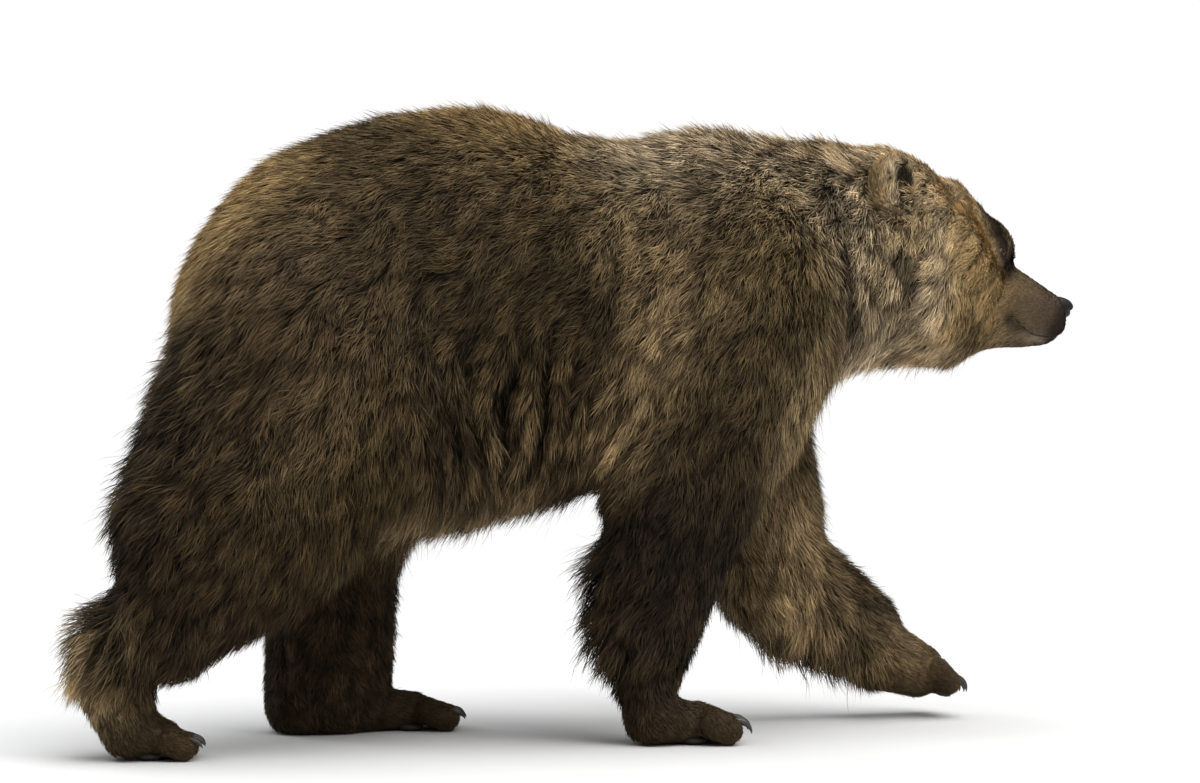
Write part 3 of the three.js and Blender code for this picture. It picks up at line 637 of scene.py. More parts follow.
@dataclass
class Body:
    """The whole bear as a field of distances, and what its coat is like at any place."""

    masses: list[Mass] = field(default_factory=list)

    def __post_init__(self) -> None:
        """Gather the masses in the order in which they flow together."""
        toes = [mass for foot in FEET for mass in foot.masses()]
        self.masses = trunk_masses() + hind_masses() + fore_masses() + head_masses() + toes

    def skin_distance(self, points: Array) -> Array:
        """Distance to the skin: the coat's outer surface drawn in by the coat's own depth.

        Args:
            points: Places, in millimetres.

        Returns:
            Distances, negative inside the skin.
        """
        total: Optional[Array] = None
        weight = np.zeros(len(points))
        depth = np.zeros(len(points))
        for mass in self.masses:
            d, t = mass.measured(points)
            total = d if total is None else soft_union(total, d, mass.blend)
            w = np.exp(-np.clip(d, -WEIGHT_LIMIT, WEIGHT_LIMIT) / WEIGHT_REACH)
            weight += w
            depth += w * mass.coat_value("depth", t)
        drawn = total + self.thinned_depth(points, depth / weight) - self.folds(points) + self.mouth(points)
        for ear in EARS:
            drawn = soft_union(drawn, ear.cup(points) + Coat.EAR.value.depth, Blend.EAR)
        return np.maximum(drawn, FLOOR_CLEARANCE - points[:, 2])

    @staticmethod
    def eye_distance(points: Array) -> Array:
        """Distance to the nearer eye's centre."""
        q = to_head(points)
        q[:, 1] = np.abs(q[:, 1])
        return lengths(q - np.array(EYE_CENTRE))

    @staticmethod
    def face_share(points: Array) -> Array:
        """Share of the face's short coat: 0 behind the ears or under the jaw, 1 on the brow."""
        x, _, z = to_head(points).T
        return smoothstep(x + FACE_SLANT * z, *FACE_FRONT) * smoothstep(z, *FACE_LOW)

    def thinned_depth(self, points: Array, depth: Array) -> Array:
        """The coat's depth, capped on the face and brought down to very short hair around the eyes."""
        deepest, less = FACE_DEPTHS
        depth = np.minimum(depth, deepest - less * self.face_share(points))
        near = 1.0 - smoothstep(self.eye_distance(points), EYE_SOCKET * 0.7, EYE_SOCKET * 1.7)
        return depth + (LID_DEPTH - depth) * near

    @staticmethod
    def mouth(points: Array) -> Array:
        """How far the skin draws in at the mouth's crease, the nose's seat and the eye sockets.

        Args:
            points: places, (n, 3).

        Returns:
            the depths, (n,).
        """
        q = to_head(points)
        q[:, 1] = np.abs(q[:, 1])
        ahead = q[:, 0] > FACE_AHEAD
        inward = np.zeros(len(q))
        near = q[ahead]
        crease = bell(path_distance(near, MOUTH), *CREASE_BELL)
        seat = bell(lengths(near - np.array(NOSE_CENTRE)), *SEAT_BELL)
        socket = bell(path_distance(near, SOCKET), *SOCKET_BELL)
        lip = bell(path_distance(near, np.array(MOUTH, float) + LIP_RISE), *LIP_BELL)
        inward[ahead] = crease + seat + socket - lip
        return inward

    @staticmethod
    def rope(points: Array) -> tuple[Array, Array]:
        """Upright rolls of loose skin on the flank, fanned out upwards, behind the shoulder.

        A roll's height is |sin(pi u / pitch)|, u being the place along the flank divided by the fan's spread.

        Args:
            points: Places, in millimetres.

        Returns:
            How far each place belongs to the rolls, and how high it lies on one, 0 in a gap and 1 on top.
        """
        x, y, z = points.T
        spread = np.maximum(1.0 + (z - FOLD_HEIGHT) / FOLD_FAN, 0.4)
        across = (x - FOLD_MIDDLE) / spread
        for swing, x_wave, z_wave in FOLD_WAVES:
            across = across + swing * np.sin(x / x_wave + z / z_wave)
        height = np.sqrt(np.sin(np.pi * across / FOLD_PITCH) ** 2 + 0.01)
        reach = ((x - FOLD_PLACE[0]) / FOLD_REACH[0]) ** 2 + ((z - FOLD_PLACE[1]) / FOLD_REACH[1]) ** 2
        uneven = 0.86 + 0.14 * np.sin(x / 37.0 - z / 49.0)
        return uneven * np.exp(-reach ** 2) * smoothstep(np.abs(y), *FOLD_SIDE), height

    def folds(self, points: Array) -> Array:
        """How far the rolls on the flank raise the skin, in millimetres; negative in the gaps."""
        share, height = self.rope(points)
        return FOLD_DEPTH * share * (2.0 * height - 1.2)

    def weights(self, points: Array) -> Iterator[tuple[Mass, Array, Array]]:
        """Each mass, its share of the coat at each point, and how far along the mass the point is."""
        measures = [mass.measured(points) for mass in self.masses]
        distances = np.stack([d for d, _ in measures])
        shares = np.exp(-(distances - distances.min(axis=0)) / WEIGHT_REACH)
        shares /= shares.sum(axis=0)
        yield from zip(self.masses, shares, [t for _, t in measures])


# ---- polygonising ----
BLOCK = 4
BAND = 34.0


@dataclass(frozen=True)
class GridAxis:
    """Grid lines along one axis, closer together within the fine stretches."""

    start: float
    end: float
    fine: tuple[tuple[float, float], ...]
    step: float
    small: float
    ease: float = 60.0
    probes: int = 4000

    def lines(self) -> Array:
        """The lines' places, as many as fill whole blocks."""
        probe = np.linspace(self.start, self.end, self.probes)
        near = np.zeros_like(probe)
        for low, high in self.fine:
            entering = smoothstep(probe, low - self.ease, low)
            near = np.maximum(near, entering * (1.0 - smoothstep(probe, high, high + self.ease)))
        pace = self.step + (self.small - self.step) * near
        count = np.concatenate([[0.0], np.cumsum((probe[1] - probe[0]) / pace[:-1])])
        lines = int(np.ceil(count[-1] / BLOCK)) * BLOCK + 1
        return np.interp(np.linspace(0.0, count[-1], lines), count, probe)


GRID = (
    GridAxis(-1010.0, 990.0, ((640.0, 955.0),), 11.6, 4.5),
    GridAxis(-400.0, 400.0, ((-105.0, 210.0),), 9.6, 5.1),
    GridAxis(-20.0, 1160.0, ((-20.0, 90.0), (700.0, 980.0)), 11.2, 5.3),
)


def lattice(axes: list[Array]) -> Array:
    """All points of a grid, as rows."""
    return np.stack(np.meshgrid(*axes, indexing="ij"), axis=-1).reshape(-1, 3)


def banded_values(distance: Callable[[Array], Array], axes: list[Array]) -> Array:
    """Field values on a grid, worked out in full only in blocks that the surface may pass.

    Args:
        distance: The field.
        axes: Grid lines of the three axes.

    Returns:
        Values, negative inside.
    """
    coarse_axes = [axis[::BLOCK] for axis in axes]
    shape = [len(axis) for axis in coarse_axes]
    coarse = distance(lattice(coarse_axes)).reshape(shape)
    low = np.full([n - 1 for n in shape], np.inf)
    for corner in itertools.product((0, 1), repeat=3):
        part = np.abs(coarse[tuple(slice(c, n - 1 + c) for c, n in zip(corner, shape))])
        low = np.minimum(low, part)
    near = low < BAND
    values = coarse[:-1, :-1, :-1]
    for axis in range(3):
        near = np.repeat(near, BLOCK, axis=axis)
        values = np.repeat(values, BLOCK, axis=axis)
    near = np.pad(near, ((0, 1),) * 3)
    values = np.pad(values, ((0, 1),) * 3, mode="edge").copy()
    at = np.argwhere(near)
    points = np.stack([axes[n][at[:, n]] for n in range(3)], axis=1)
    values[near] = distance(points)
    return values


def surface_nets(values: Array, axes: list[Array]) -> Shape:
    """One vertex in each cell that the surface passes, at the mean of its edge crossings, and the quads.

    Args:
        values: Field on the grid, negative inside.
        axes: Grid lines of the three axes.

    Returns:
        Vertices, and quads that face outwards.
    """
    shape = values.shape
    inside = values < 0
    corners = [inside[tuple(slice(c, n - 1 + c) for c, n in zip(corner, shape))]
               for corner in itertools.product((0, 1), repeat=3)]
    filled = np.sum(corners, axis=0, dtype=np.int8)
    active = (filled > 0) & (filled < 8)
    ids = np.full(active.shape, -1, dtype=np.int64)
    cells = np.argwhere(active)
    ids[active] = np.arange(len(cells))
    total = np.zeros((len(cells), 3))
    count = np.zeros(len(cells))
    for axis, a, b in itertools.product(range(3), (0, 1), (0, 1)):
        others = [n for n in range(3) if n != axis]
        low = np.zeros(3, dtype=np.int64)
        low[others] = (a, b)
        high = low.copy()
        high[axis] = 1
        f0 = values[tuple((cells + low).T)]
        f1 = values[tuple((cells + high).T)]
        crosses = (f0 < 0) != (f1 < 0)
        t = np.where(crosses, f0 / np.where(crosses, f0 - f1, 1.0), 0.0)
        crossing = np.tile(low.astype(float), (len(cells), 1))
        crossing[:, axis] = t
        total += crossing * crosses[:, None]
        count += crosses
    place = cells + total / count[:, None]
    vertices = np.stack([np.interp(place[:, n], np.arange(shape[n]), axes[n]) for n in range(3)], axis=1)
    return vertices, net_quads(inside, ids)


def net_quads(inside: Array, ids: Array) -> Array:
    """The quad around every grid edge that crosses the surface.

    Args:
        inside: whether each grid point is inside.
        ids: the vertex number of each cell.

    Returns:
        the quads' vertex numbers, (n, 4).
    """
    quads = []
    for axis in range(3):
        a, b = [(1, 2), (2, 0), (0, 1)][axis]
        first = [slice(None)] * 3
        second = [slice(None)] * 3
        first[axis] = slice(0, -1)
        second[axis] = slice(1, None)
        starts = inside[tuple(first)]
        edges = np.argwhere(starts != inside[tuple(second)])
        keep = (edges[:, a] > 0) & (edges[:, b] > 0)
        keep &= (edges[:, a] < inside.shape[a] - 1) & (edges[:, b] < inside.shape[b] - 1)
        edges = edges[keep]
        outwards = starts[tuple(edges.T)]
        ring = []
        for da, db in ((-1, -1), (0, -1), (0, 0), (-1, 0)):
            cell = edges.copy()
            cell[:, a] += da
            cell[:, b] += db
            ring.append(ids[tuple(cell.T)])
        quad = np.stack(ring, axis=1)
        quad[~outwards] = quad[~outwards][:, ::-1]
        quads.append(quad)
    return np.concatenate(quads)


def slopes(distance: Callable[[Array], Array], points: Array, step: float = 1.0) -> tuple[Array, Array]:
    """A field's value and its slope by forward differences."""
    here = distance(points)
    ahead = [distance(points + step * axis) - here for axis in np.eye(3)]
    return here, np.stack(ahead, axis=1) / step


def settled(distance: Callable[[Array], Array], points: Array, rounds: int, limit: float) -> Shape:
    """Pull points on to the field's surface by Newton steps.

    Args:
        distance: The field.
        points: Places near its surface.
        rounds: How many steps.
        limit: The furthest that one step may go.

    Returns:
        The settled points, and the outward normals there.
    """
    for _ in range(rounds):
        value, slope = slopes(distance, points)
        step = slope * (value / np.maximum((slope ** 2).sum(axis=1), 0.1))[:, None]
        length = np.maximum(np.linalg.norm(step, axis=1, keepdims=True), 1e-9)
        points = points - step * np.minimum(1.0, limit / length)
    _, slope = slopes(distance, points)
    return points, unit(slope)


def split_quads(quads: Array, points: Array) -> Array:
    """Two triangles for each quad, along its shorter diagonal."""
    a, b, c, d = quads.T
    short = lengths(points[a] - points[c]) < lengths(points[b] - points[d])
    one = np.where(short[:, None], np.stack([a, b, c], axis=1), np.stack([a, b, d], axis=1))
    two = np.where(short[:, None], np.stack([a, c, d], axis=1), np.stack([b, c, d], axis=1))
    return np.concatenate([one, two])


# ---- meshes ----
def make_object(name: str, points: Array, triangles: Array, values: Optional[dict[str, Array]] = None,
                corners: Optional[Array] = None) -> Thing:
    """Make a smooth-shaded mesh object at the origin.

    Args:
        name: The object's name.
        points: Vertices, in the bear's own millimetres.
        triangles: Vertex numbers of each triangle.
        values: Named vertex attributes; three or four columns make a colour, one column a number.
        corners: Texture places of the vertices, for a map named OFBake.

    Returns:
        The object, linked to the scene.
    """
    mesh = bpy.data.meshes.new(name)
    mesh.vertices.add(len(points))
    mesh.vertices.foreach_set("co", (points * MM + SHIFT).astype(np.float32).ravel())
    mesh.loops.add(triangles.size)
    mesh.loops.foreach_set("vertex_index", triangles.astype(np.int32).ravel())
    mesh.polygons.add(len(triangles))
    mesh.polygons.foreach_set("loop_start", np.arange(0, triangles.size, 3, dtype=np.int32))
    mesh.update(calc_edges=True)
    mesh.polygons.foreach_set("use_smooth", np.ones(len(triangles), dtype=bool))
    for key, value in (values or {}).items():
        if value.ndim == 2:
            layer = mesh.color_attributes.new(key, "FLOAT_COLOR", "POINT")
            colour = np.ones((len(points), 4), dtype=np.float32)
            colour[:, :3] = value
            layer.data.foreach_set("color", colour.ravel())
        else:
            layer = mesh.attributes.new(key, "FLOAT", "POINT")
            layer.data.foreach_set("value", value.astype(np.float32))
    if corners is not None:
        layer = mesh.uv_layers.new(name="OFBake")
        layer.data.foreach_set("uv", corners[triangles.ravel()].astype(np.float32).ravel())
    obj = bpy.data.objects.new(name, mesh)
    bpy.context.scene.collection.objects.link(obj)
    return obj


def ring_faces(rings: int, sides: int) -> Array:
    """Triangles of a tube of rings whose two ends close on the last two vertices.

    Args:
        rings: Number of rings.
        sides: Vertices in each ring.

    Returns:
        Triangles; the end vertices are numbered rings * sides and rings * sides + 1.
    """
    i, j = np.meshgrid(np.arange(rings - 1), np.arange(sides), indexing="ij")
    a = (i * sides + j).ravel()
    b = (i * sides + (j + 1) % sides).ravel()
    wall = np.concatenate([np.stack([a, b, b + sides], 1), np.stack([a, b + sides, a + sides], 1)])
    n = np.arange(sides)
    m = (n + 1) % sides
    last = (rings - 1) * sides
    start = np.stack([np.full(sides, rings * sides), m, n], 1)
    end = np.stack([np.full(sides, rings * sides + 1), last + n, last + m], 1)
    return np.concatenate([wall, start, end])


def facing_out(points: Array, triangles: Array) -> Array:
    """The triangles, turned round if the closed shape they make has a negative volume."""
    p, q, r = (points[triangles[:, n]] - points.mean(axis=0) for n in range(3))
    volume = (p * np.cross(q, r)).sum()
    return triangles if volume > 0 else triangles[:, ::-1]


def joined(shapes: list[Shape]) -> Shape:
    """Several shapes as one list of vertices and triangles."""
    offsets = np.cumsum([0] + [len(points) for points, _ in shapes[:-1]])
    points = np.concatenate([points for points, _ in shapes])
    triangles = np.concatenate([triangles + offset for (_, triangles), offset in zip(shapes, offsets)])
    return points, triangles


def swept(centres: Array, across: Array, up: Array, widths: Array, heights: Array, sides: int) -> Shape:
    """A closed tube: at each centre an ellipse, width cos a across plus height sin a up.

    Args:
        centres: Ring centres.
        across: Unit vectors of the ellipses' widths.
        up: Unit vectors of the ellipses' heights.
        widths: Half widths.
        heights: Half heights.
        sides: Vertices in each ring.

    Returns:
        Vertices and outward triangles.
    """
    angle = round_angles(sides)[None, :, None]
    rings = (centres[:, None] + across[:, None] * widths[:, None, None] * np.cos(angle)
             + up[:, None] * heights[:, None, None] * np.sin(angle))
    points = np.concatenate([rings.reshape(-1, 3), centres[:1], centres[-1:]])
    return points, facing_out(points, ring_faces(len(centres), sides))


def round_angles(sides: int) -> Array:
    """Even angles once round."""
    return np.linspace(0.0, 2.0 * np.pi, sides, endpoint=False)


def globe(rings: int, sides: int) -> Array:
    """A unit ball's points ring by ring round +X, then its two poles."""
    p, a = np.meshgrid(np.linspace(0.0, np.pi, rings + 2)[1:-1], round_angles(sides), indexing="ij")
    ball = np.stack([np.cos(p), np.sin(p) * np.cos(a), np.sin(p) * np.sin(a)], axis=-1).reshape(-1, 3)
    return np.concatenate([ball, [[1.0, 0.0, 0.0], [-1.0, 0.0, 0.0]]])


def squared(ball: Array, power: float, half: Array) -> Array:
    """A ball's coordinates raised to a power below one, which makes it blockier, and stretched."""
    return np.sign(ball) * np.abs(ball) ** power * half


def cushion(centre: Array, half: Array, heading: float, pitch: float) -> Shape:
    """A rounded cushion: a blocky ball stretched, tipped and turned."""
    rings, sides, power = 11, 16, 0.8
    shape = squared(globe(rings, sides)[:, [1, 2, 0]], power, half)
    points = centre + turned(tilted(shape, pitch), heading)
    return points, facing_out(points, ring_faces(rings, sides))


# ---- markings, and a painted shadow below the ears ----
@dataclass(frozen=True)
class Mark:
    """A soft patch of another colour along a path; one on the right side shows on the left as well."""

    path: tuple[Point, ...]
    radius: float
    tint: Tint
    strength: float
    on_head: bool = False
    both: bool = True
    edge: float = 2.0

    def amount(self, points: Array) -> Array:
        """How much of the tint shows: strength * exp(-(distance / radius)^edge)."""
        q = to_head(points) if self.on_head else points.copy()
        if self.both:
            q[:, 1] = -np.abs(q[:, 1])
        return self.strength * np.exp(-(path_distance(q, self.path) / self.radius) ** self.edge)


MARKS = (
    Mark(((-351, -311, 660), (-330, -282, 596), (-290, -240, 500)), 42, Tint.PITCH, 0.62),
    Mark(((-662, -281, 700), (-500, -305, 793), (-300, -300, 800), (-150, -290, 790)), 60, Tint.OLIVE, 0.5),
    Mark(((-240, -60, 1080), (-70, -60, 1045)), 125, Tint.HONEY, 0.72),
    Mark(((-603, -80, 968), (-726, -60, 800)), 120, Tint.HONEY, 0.8),
    Mark(((-742, -267, 563), (-760, -230, 700)), 120, Tint.SABLE, 0.6),
    Mark(((-588, -342, 515), (-540, -330, 600)), 70, Tint.TAN, 0.14),
    Mark(((65, -247, 738), (41, -245, 638), (-15, -197, 507)), 62, Tint.TAN, 0.78),
    Mark(((150, -300, 600), (180, -290, 480)), 100, Tint.SABLE, 0.55),
    Mark(((317, -240, 628), (288, -209, 517), (266, -151, 465)), 66, Tint.GOLD, 0.95),
    Mark(((39, -70, 1018), (187, -70, 1038), (350, -50, 1037)), 112, Tint.PALE, 0.75),
    Mark(((20, -230, 900), (80, -260, 830)), 90, Tint.TAN, 0.55),
    Mark(((139, -162, 1013), (150, -230, 900)), 35, Tint.UMBER, 0.5),
    Mark(((430, -160, 930), (450, -150, 850), (490, -120, 780)), 95, Tint.PALE, 0.5),
    Mark(((380, -138, 973), (392, -165, 925)), 26, Tint.PITCH, 0.8),
    Mark(((398, -190, 872), (390, -192, 822), (410, -165, 773), (440, -130, 715)), 25, Tint.PITCH, 0.92,
         edge=3.0),
    Mark(((515, -150, 872), (552, -130, 840), (560, -105, 785)), 22, Tint.PITCH, 0.92, edge=3.0),
    Mark(((435, -140, 742), (520, -90, 732)), 26, Tint.PITCH, 0.75),
    Mark(((470, -150, 830), (480, -150, 780)), 40, Tint.CHESTNUT, 0.45),
    Mark(((480, -60, 672), (624, 5, 660)), 85, Tint.PALE, 0.9),
    Mark(((-345, -60, 427), (-169, -60, 413)), 90, Tint.TAN, 0.7),
    Mark(((-930, -175, 200), (-918, -180, 113)), 58, Tint.GOLD, 0.92, both=False),
    Mark(((322, 70, 225), (378, 46, 269), (375, 45, 378)), 95, Tint.TAN, 0.9, both=False),
    Mark(((420, 79, 189), (520, 95, 158), (600, 110, 130)), 60, Tint.TAN, 0.5, both=False),
    Mark(((260, -170, 640), (150, -170, 420), (60, -170, 200)), 110, Tint.PITCH, 0.55, both=False),
    Mark(((80, -168, 60), (150, -168, 50)), 60, Tint.DUSK, 0.6, both=False),
    Mark(((-27, -123, 60), (-32, -148, -55), (-43, -146, -157)), 26, Tint.PALE, 0.55, on_head=True),
    Mark(((10, -166, -36), (38, -140, -161)), 15, Tint.GOLD, 0.5, on_head=True),
    Mark(((-100, 0, 150), (60, 0, 130)), 90, Tint.PALE, 0.85, on_head=True),
    Mark(((140, -20, 75), (165, -55, 10), (160, -75, -50)), 50, Tint.TAUPE, 0.45, on_head=True),
    Mark(((172, 0, 50), (202, 0, 12), (216, 0, -30)), 36, Tint.SABLE, 0.93, on_head=True, edge=3.0),
    Mark(((152, -34, 48), (168, -45, 22), (160, -64, -8), (158, -68, -40), (176, -58, -58), (198, -40, -50)),
         30, Tint.PITCH, 0.97, on_head=True, edge=3.0),
    Mark(((225, 0, -60), (300, 0, -95)), 24, Tint.SABLE, 0.8, on_head=True),
    Mark(((40, -140, -165), (60, -110, -190), (140, -60, -195)), 32, Tint.RUSSET, 0.75, on_head=True),
    Mark(((-60, -112, 80), (-58, -129, 42)), 30, Tint.GOLD, 0.7, on_head=True),
    # Painted shadow on the side of the head below each ear.
    Mark(((-136, -196, 65), (-117, -182, 40), (-100, -165, 18)), 22, Tint.PITCH, 0.95, on_head=True,
         edge=4.0),
    Mark(((184, -57, -152), (200, -54, -168), (222, -49, -181), (244, -43, -190), (300, -28, -190),
          (332, 0, -172)), 10, Tint.PITCH, 0.55, on_head=True),
    Mark(((188, -52, -156), (206, -50, -172)), 13, Tint.BLACK, 0.85, on_head=True),
    Mark(((225, -44, -194), (275, -30, -196)), 12, Tint.PALE, 0.4, on_head=True),
    Mark(((330, 0, -160), (312, -28, -158), (300, -34, -180)), 32, Tint.PITCH, 0.85, on_head=True,
         edge=4.0),
)


@dataclass(frozen=True)
class Combing:
    """A stretch of coat that lies its own way and may be longer; one on the right is on the left as well."""

    path: tuple[Point, ...]
    radius: float
    lie: Point
    strength: float
    longer: float = 0.0
    on_head: bool = True

    def amount(self, points: Array) -> Array:
        """How much the coat follows it: strength * exp(-(distance / radius)^2)."""
        q = to_head(points) if self.on_head else points.copy()
        q[:, 1] = -np.abs(q[:, 1])
        return bell(path_distance(q, self.path), self.strength, self.radius)

    def way(self, points: Array) -> Array:
        """The lie, mirrored on the left side."""
        turn = HEAD_TURN if self.on_head else 0.0
        right, left = (unit(turned(np.array(lie, float), turn)) for lie in (self.lie, mirrored(self.lie)))
        side = to_head(points)[:, 1] if self.on_head else points[:, 1]
        return np.where(side[:, None] < 0.0, right, left)


COMBINGS = (
    Combing(((-62, -165, 88), (-58, -172, 45), (-70, -175, 8)), 30, (0.75, -0.35, -0.45), 0.95, 16.0),
    Combing(((-24, -140, 60), (-20, -165, -60), (-30, -150, -170)), 24, (-0.35, -0.5, -0.8), 0.7, 14.0),
    Combing(((520, -170, 900), (545, -150, 800), (520, -120, 730)), 46, (0.0, -0.1, -1.0), 0.6, 8.0, False),
    Combing(((330, -150, 640), (345, -150, 430)), 60, (0.4, 0.0, -0.9), 0.8, 22.0, False),
    Combing(((370, -90, 230), (450, -95, 165), (540, -105, 120)), 48, (-0.25, 0.0, -0.97), 0.75, 34.0, False),
)


# ---- shading ----
class Shader:
    """A material and a short way to add and join its nodes."""

    def __init__(self, name: str) -> None:
        """Start a material that holds only its Principled BSDF.

        Args:
            name: The material's name.
        """
        self.material = bpy.data.materials.new(name)
        self.material.use_nodes = True
        self.tree = self.material.node_tree
        self.surface = self.tree.nodes["Principled BSDF"]

    def node(self, kind: str, inputs: Optional[dict] = None, **settings: object) -> Node:
        """Add a node.

        Args:
            kind: Blender's name for the node's type.
            inputs: Socket values, or sockets to link from.
            settings: Node properties.

        Returns:
            The node.
        """
        return add_node(self.tree, kind, inputs, **settings)

    def place(self) -> Socket:
        """The piece's own coordinates."""
        return self.node("ShaderNodeTexCoord").outputs["Object"]

    def carried(self, name: str) -> Socket:
        """A number that the piece carries at its vertices."""
        return self.node("ShaderNodeAttribute", attribute_name=name).outputs["Fac"]

    def noise(self, vector: Socket, scale: float, detail: float) -> Socket:
        """Noise from 0 to 1."""
        inputs = {"Vector": vector, "Scale": scale, "Detail": detail}
        return self.node("ShaderNodeTexNoise", inputs).outputs["Fac"]

    def stretched(self, scale: Point) -> Socket:
        """The piece's own coordinates, stretched along the axes."""
        return self.node("ShaderNodeMapping", {"Vector": self.place(), "Scale": scale}).outputs["Vector"]

    def between(self, value: Socket, low: float, high: float) -> Socket:
        """A value from 0 to 1 carried on to low..high."""
        inputs = {"Value": value, "To Min": low, "To Max": high}
        return self.node("ShaderNodeMapRange", inputs).outputs["Result"]

    def blended(self, share: Socket, one: Colour, other: Colour) -> Socket:
        """One colour passing into another."""
        inputs = {"Factor": share, "A": rgba(one), "B": rgba(other)}
        return self.node("ShaderNodeMix", inputs, data_type="RGBA").outputs["Result"]

    def bump(self, height: Socket, strength: float, depth: float) -> Socket:
        """The normal of a surface raised by up to a depth, in metres."""
        inputs = {"Height": height, "Strength": strength, "Distance": depth}
        return self.node("ShaderNodeBump", inputs).outputs["Normal"]

    def set(self, **values: object) -> None:
        """Set or link the surface's sockets, written with underscores for spaces."""
        for key, value in values.items():
            join(self.tree, value, self.surface.inputs[key.replace("_", " ")])


def join(tree: Tree, value: object, socket: Socket) -> None:
    """Link a socket, or set it when the value isn't one."""
    if isinstance(value, Socket):
        tree.links.new(value, socket)
    else:
        socket.default_value = value


def add_node(tree: Tree, kind: str, inputs: Optional[dict] = None,
             **settings: object) -> Node:
    """Add a node to a tree, set its properties and fill its sockets.

    Args:
        tree: the material's tree or a group.
        kind: the node's type.
        inputs: a value or a socket for each input.
        settings: the node's own properties.

    Returns:
        the node.
    """
    node = tree.nodes.new(kind)
    for key, value in settings.items():
        setattr(node, key, value)
    for key, value in (inputs or {}).items():
        join(tree, value, node.inputs[key])
    return node


def rgba(colour: Colour) -> tuple[float, float, float, float]:
    """A colour with full alpha."""
    return (*colour, 1.0)


def new_group(name: str, inputs: dict[str, str], outputs: dict[str, str]) -> Tree:
    """A node group with named sockets, each given as its name and Blender socket type."""
    group = bpy.data.node_groups.new(name, "ShaderNodeTree")
    for direction, sockets in (("INPUT", inputs), ("OUTPUT", outputs)):
        for key, kind in sockets.items():
            group.interface.new_socket(key, in_out=direction, socket_type=kind)
    return group


def multiplied(tree: Tree, *factors: object) -> Socket:
    """The product of some numbers or sockets."""
    total = factors[0]
    for factor in factors[1:]:
        total = add_node(tree, "ShaderNodeMath", {0: total, 1: factor}, operation="MULTIPLY").outputs[0]
    return total


def ramped(tree: Tree, value: object, span: tuple[float, float], low: object, high: object,
           kind: str = "SMOOTHSTEP") -> Socket:
    """A value carried from a span on to low..high."""
    node = add_node(tree, "ShaderNodeMapRange", {"Value": value, "From Min": span[0], "From Max": span[1],
                                                 "To Min": low, "To Max": high}, interpolation_type=kind)
    return node.outputs["Result"]


# Span of the dark root: partly the hair's own darker base, partly painted shade deep in the coat.
ROOT_DARK_AND_SHADE = (0.0, 0.66)
PALE_TIP = (0.45, 0.95)
SHADES = (0.25, 2.05)
STREAKS = (0.62, 1.38)
FROST_GAIN = (1.6, 1.65, 1.65)
FROST_BASE = (0.088, 0.068, 0.032)
HAIR_ROUGHNESS = (0.8, 0.6)


def hair_tone_group() -> Tree:
    """Hair colour from its marking: dark at the root (its own base and painted shade), frosted at the tip,
    streaked, varied by tuft.
    """
    number, colour = "NodeSocketFloat", "NodeSocketColor"
    group = new_group("hair_tone", {"Marking": colour, "Strand": number, "Shade": number, "Frost": number,
                                    "Across": number, "Root": number, "Mottle": number},
                      {"Colour": colour, "Gloss": number})
    source = group.nodes.new("NodeGroupInput").outputs
    place = add_node(group, "ShaderNodeTexCoord")
    noise = add_node(group, "ShaderNodeTexNoise", {"Vector": place.outputs["Object"], "Scale": 9.0,
                                                   "Detail": 4.0, "Roughness": 0.6})
    along = add_node(group, "ShaderNodeCombineXYZ", {"X": source["Across"], "Y": source["Strand"]})
    streak = add_node(group, "ShaderNodeTexNoise", {"Vector": along.outputs["Vector"], "Scale": 3.4,
                                                    "Detail": 1.0}, noise_dimensions="2D")
    # Darker towards the root: the hair's own darker base together with painted shade down in the coat.
    rise = ramped(group, source["Strand"], ROOT_DARK_AND_SHADE, source["Root"], 1.0)
    vary = ramped(group, source["Shade"], (0.0, 1.0), *SHADES, "LINEAR")
    fine = ramped(group, streak.outputs["Fac"], (0.25, 0.75), *STREAKS, "LINEAR")
    patch = add_node(group, "ShaderNodeMath", {0: noise.outputs["Fac"], 1: -0.5}, operation="ADD")
    patch = add_node(group, "ShaderNodeMath", {0: patch.outputs[0], 1: source["Mottle"], 2: 1.0},
                     operation="MULTIPLY_ADD")
    level = multiplied(group, rise, vary, fine, patch.outputs[0])
    body = add_node(group, "ShaderNodeVectorMath", {0: source["Marking"], "Scale": level}, operation="SCALE")
    pale = add_node(group, "ShaderNodeVectorMath", {0: source["Marking"], 1: FROST_GAIN, 2: FROST_BASE},
                    operation="MULTIPLY_ADD")
    tip = ramped(group, source["Strand"], PALE_TIP, 0.0, 1.0)
    amount = multiplied(group, tip, source["Shade"], source["Shade"], source["Frost"], fine)
    mixed = add_node(group, "ShaderNodeMix", {"Factor": amount}, data_type="RGBA")
    group.links.new(body.outputs["Vector"], mixed.inputs["A"])
    group.links.new(pale.outputs["Vector"], mixed.inputs["B"])
    gloss = ramped(group, noise.outputs["Fac"], (0.3, 0.7), *HAIR_ROUGHNESS, "LINEAR")
    sink = group.nodes.new("NodeGroupOutput")
    group.links.new(mixed.outputs["Result"], sink.inputs["Colour"])
    group.links.new(gloss, sink.inputs["Gloss"])
    return group


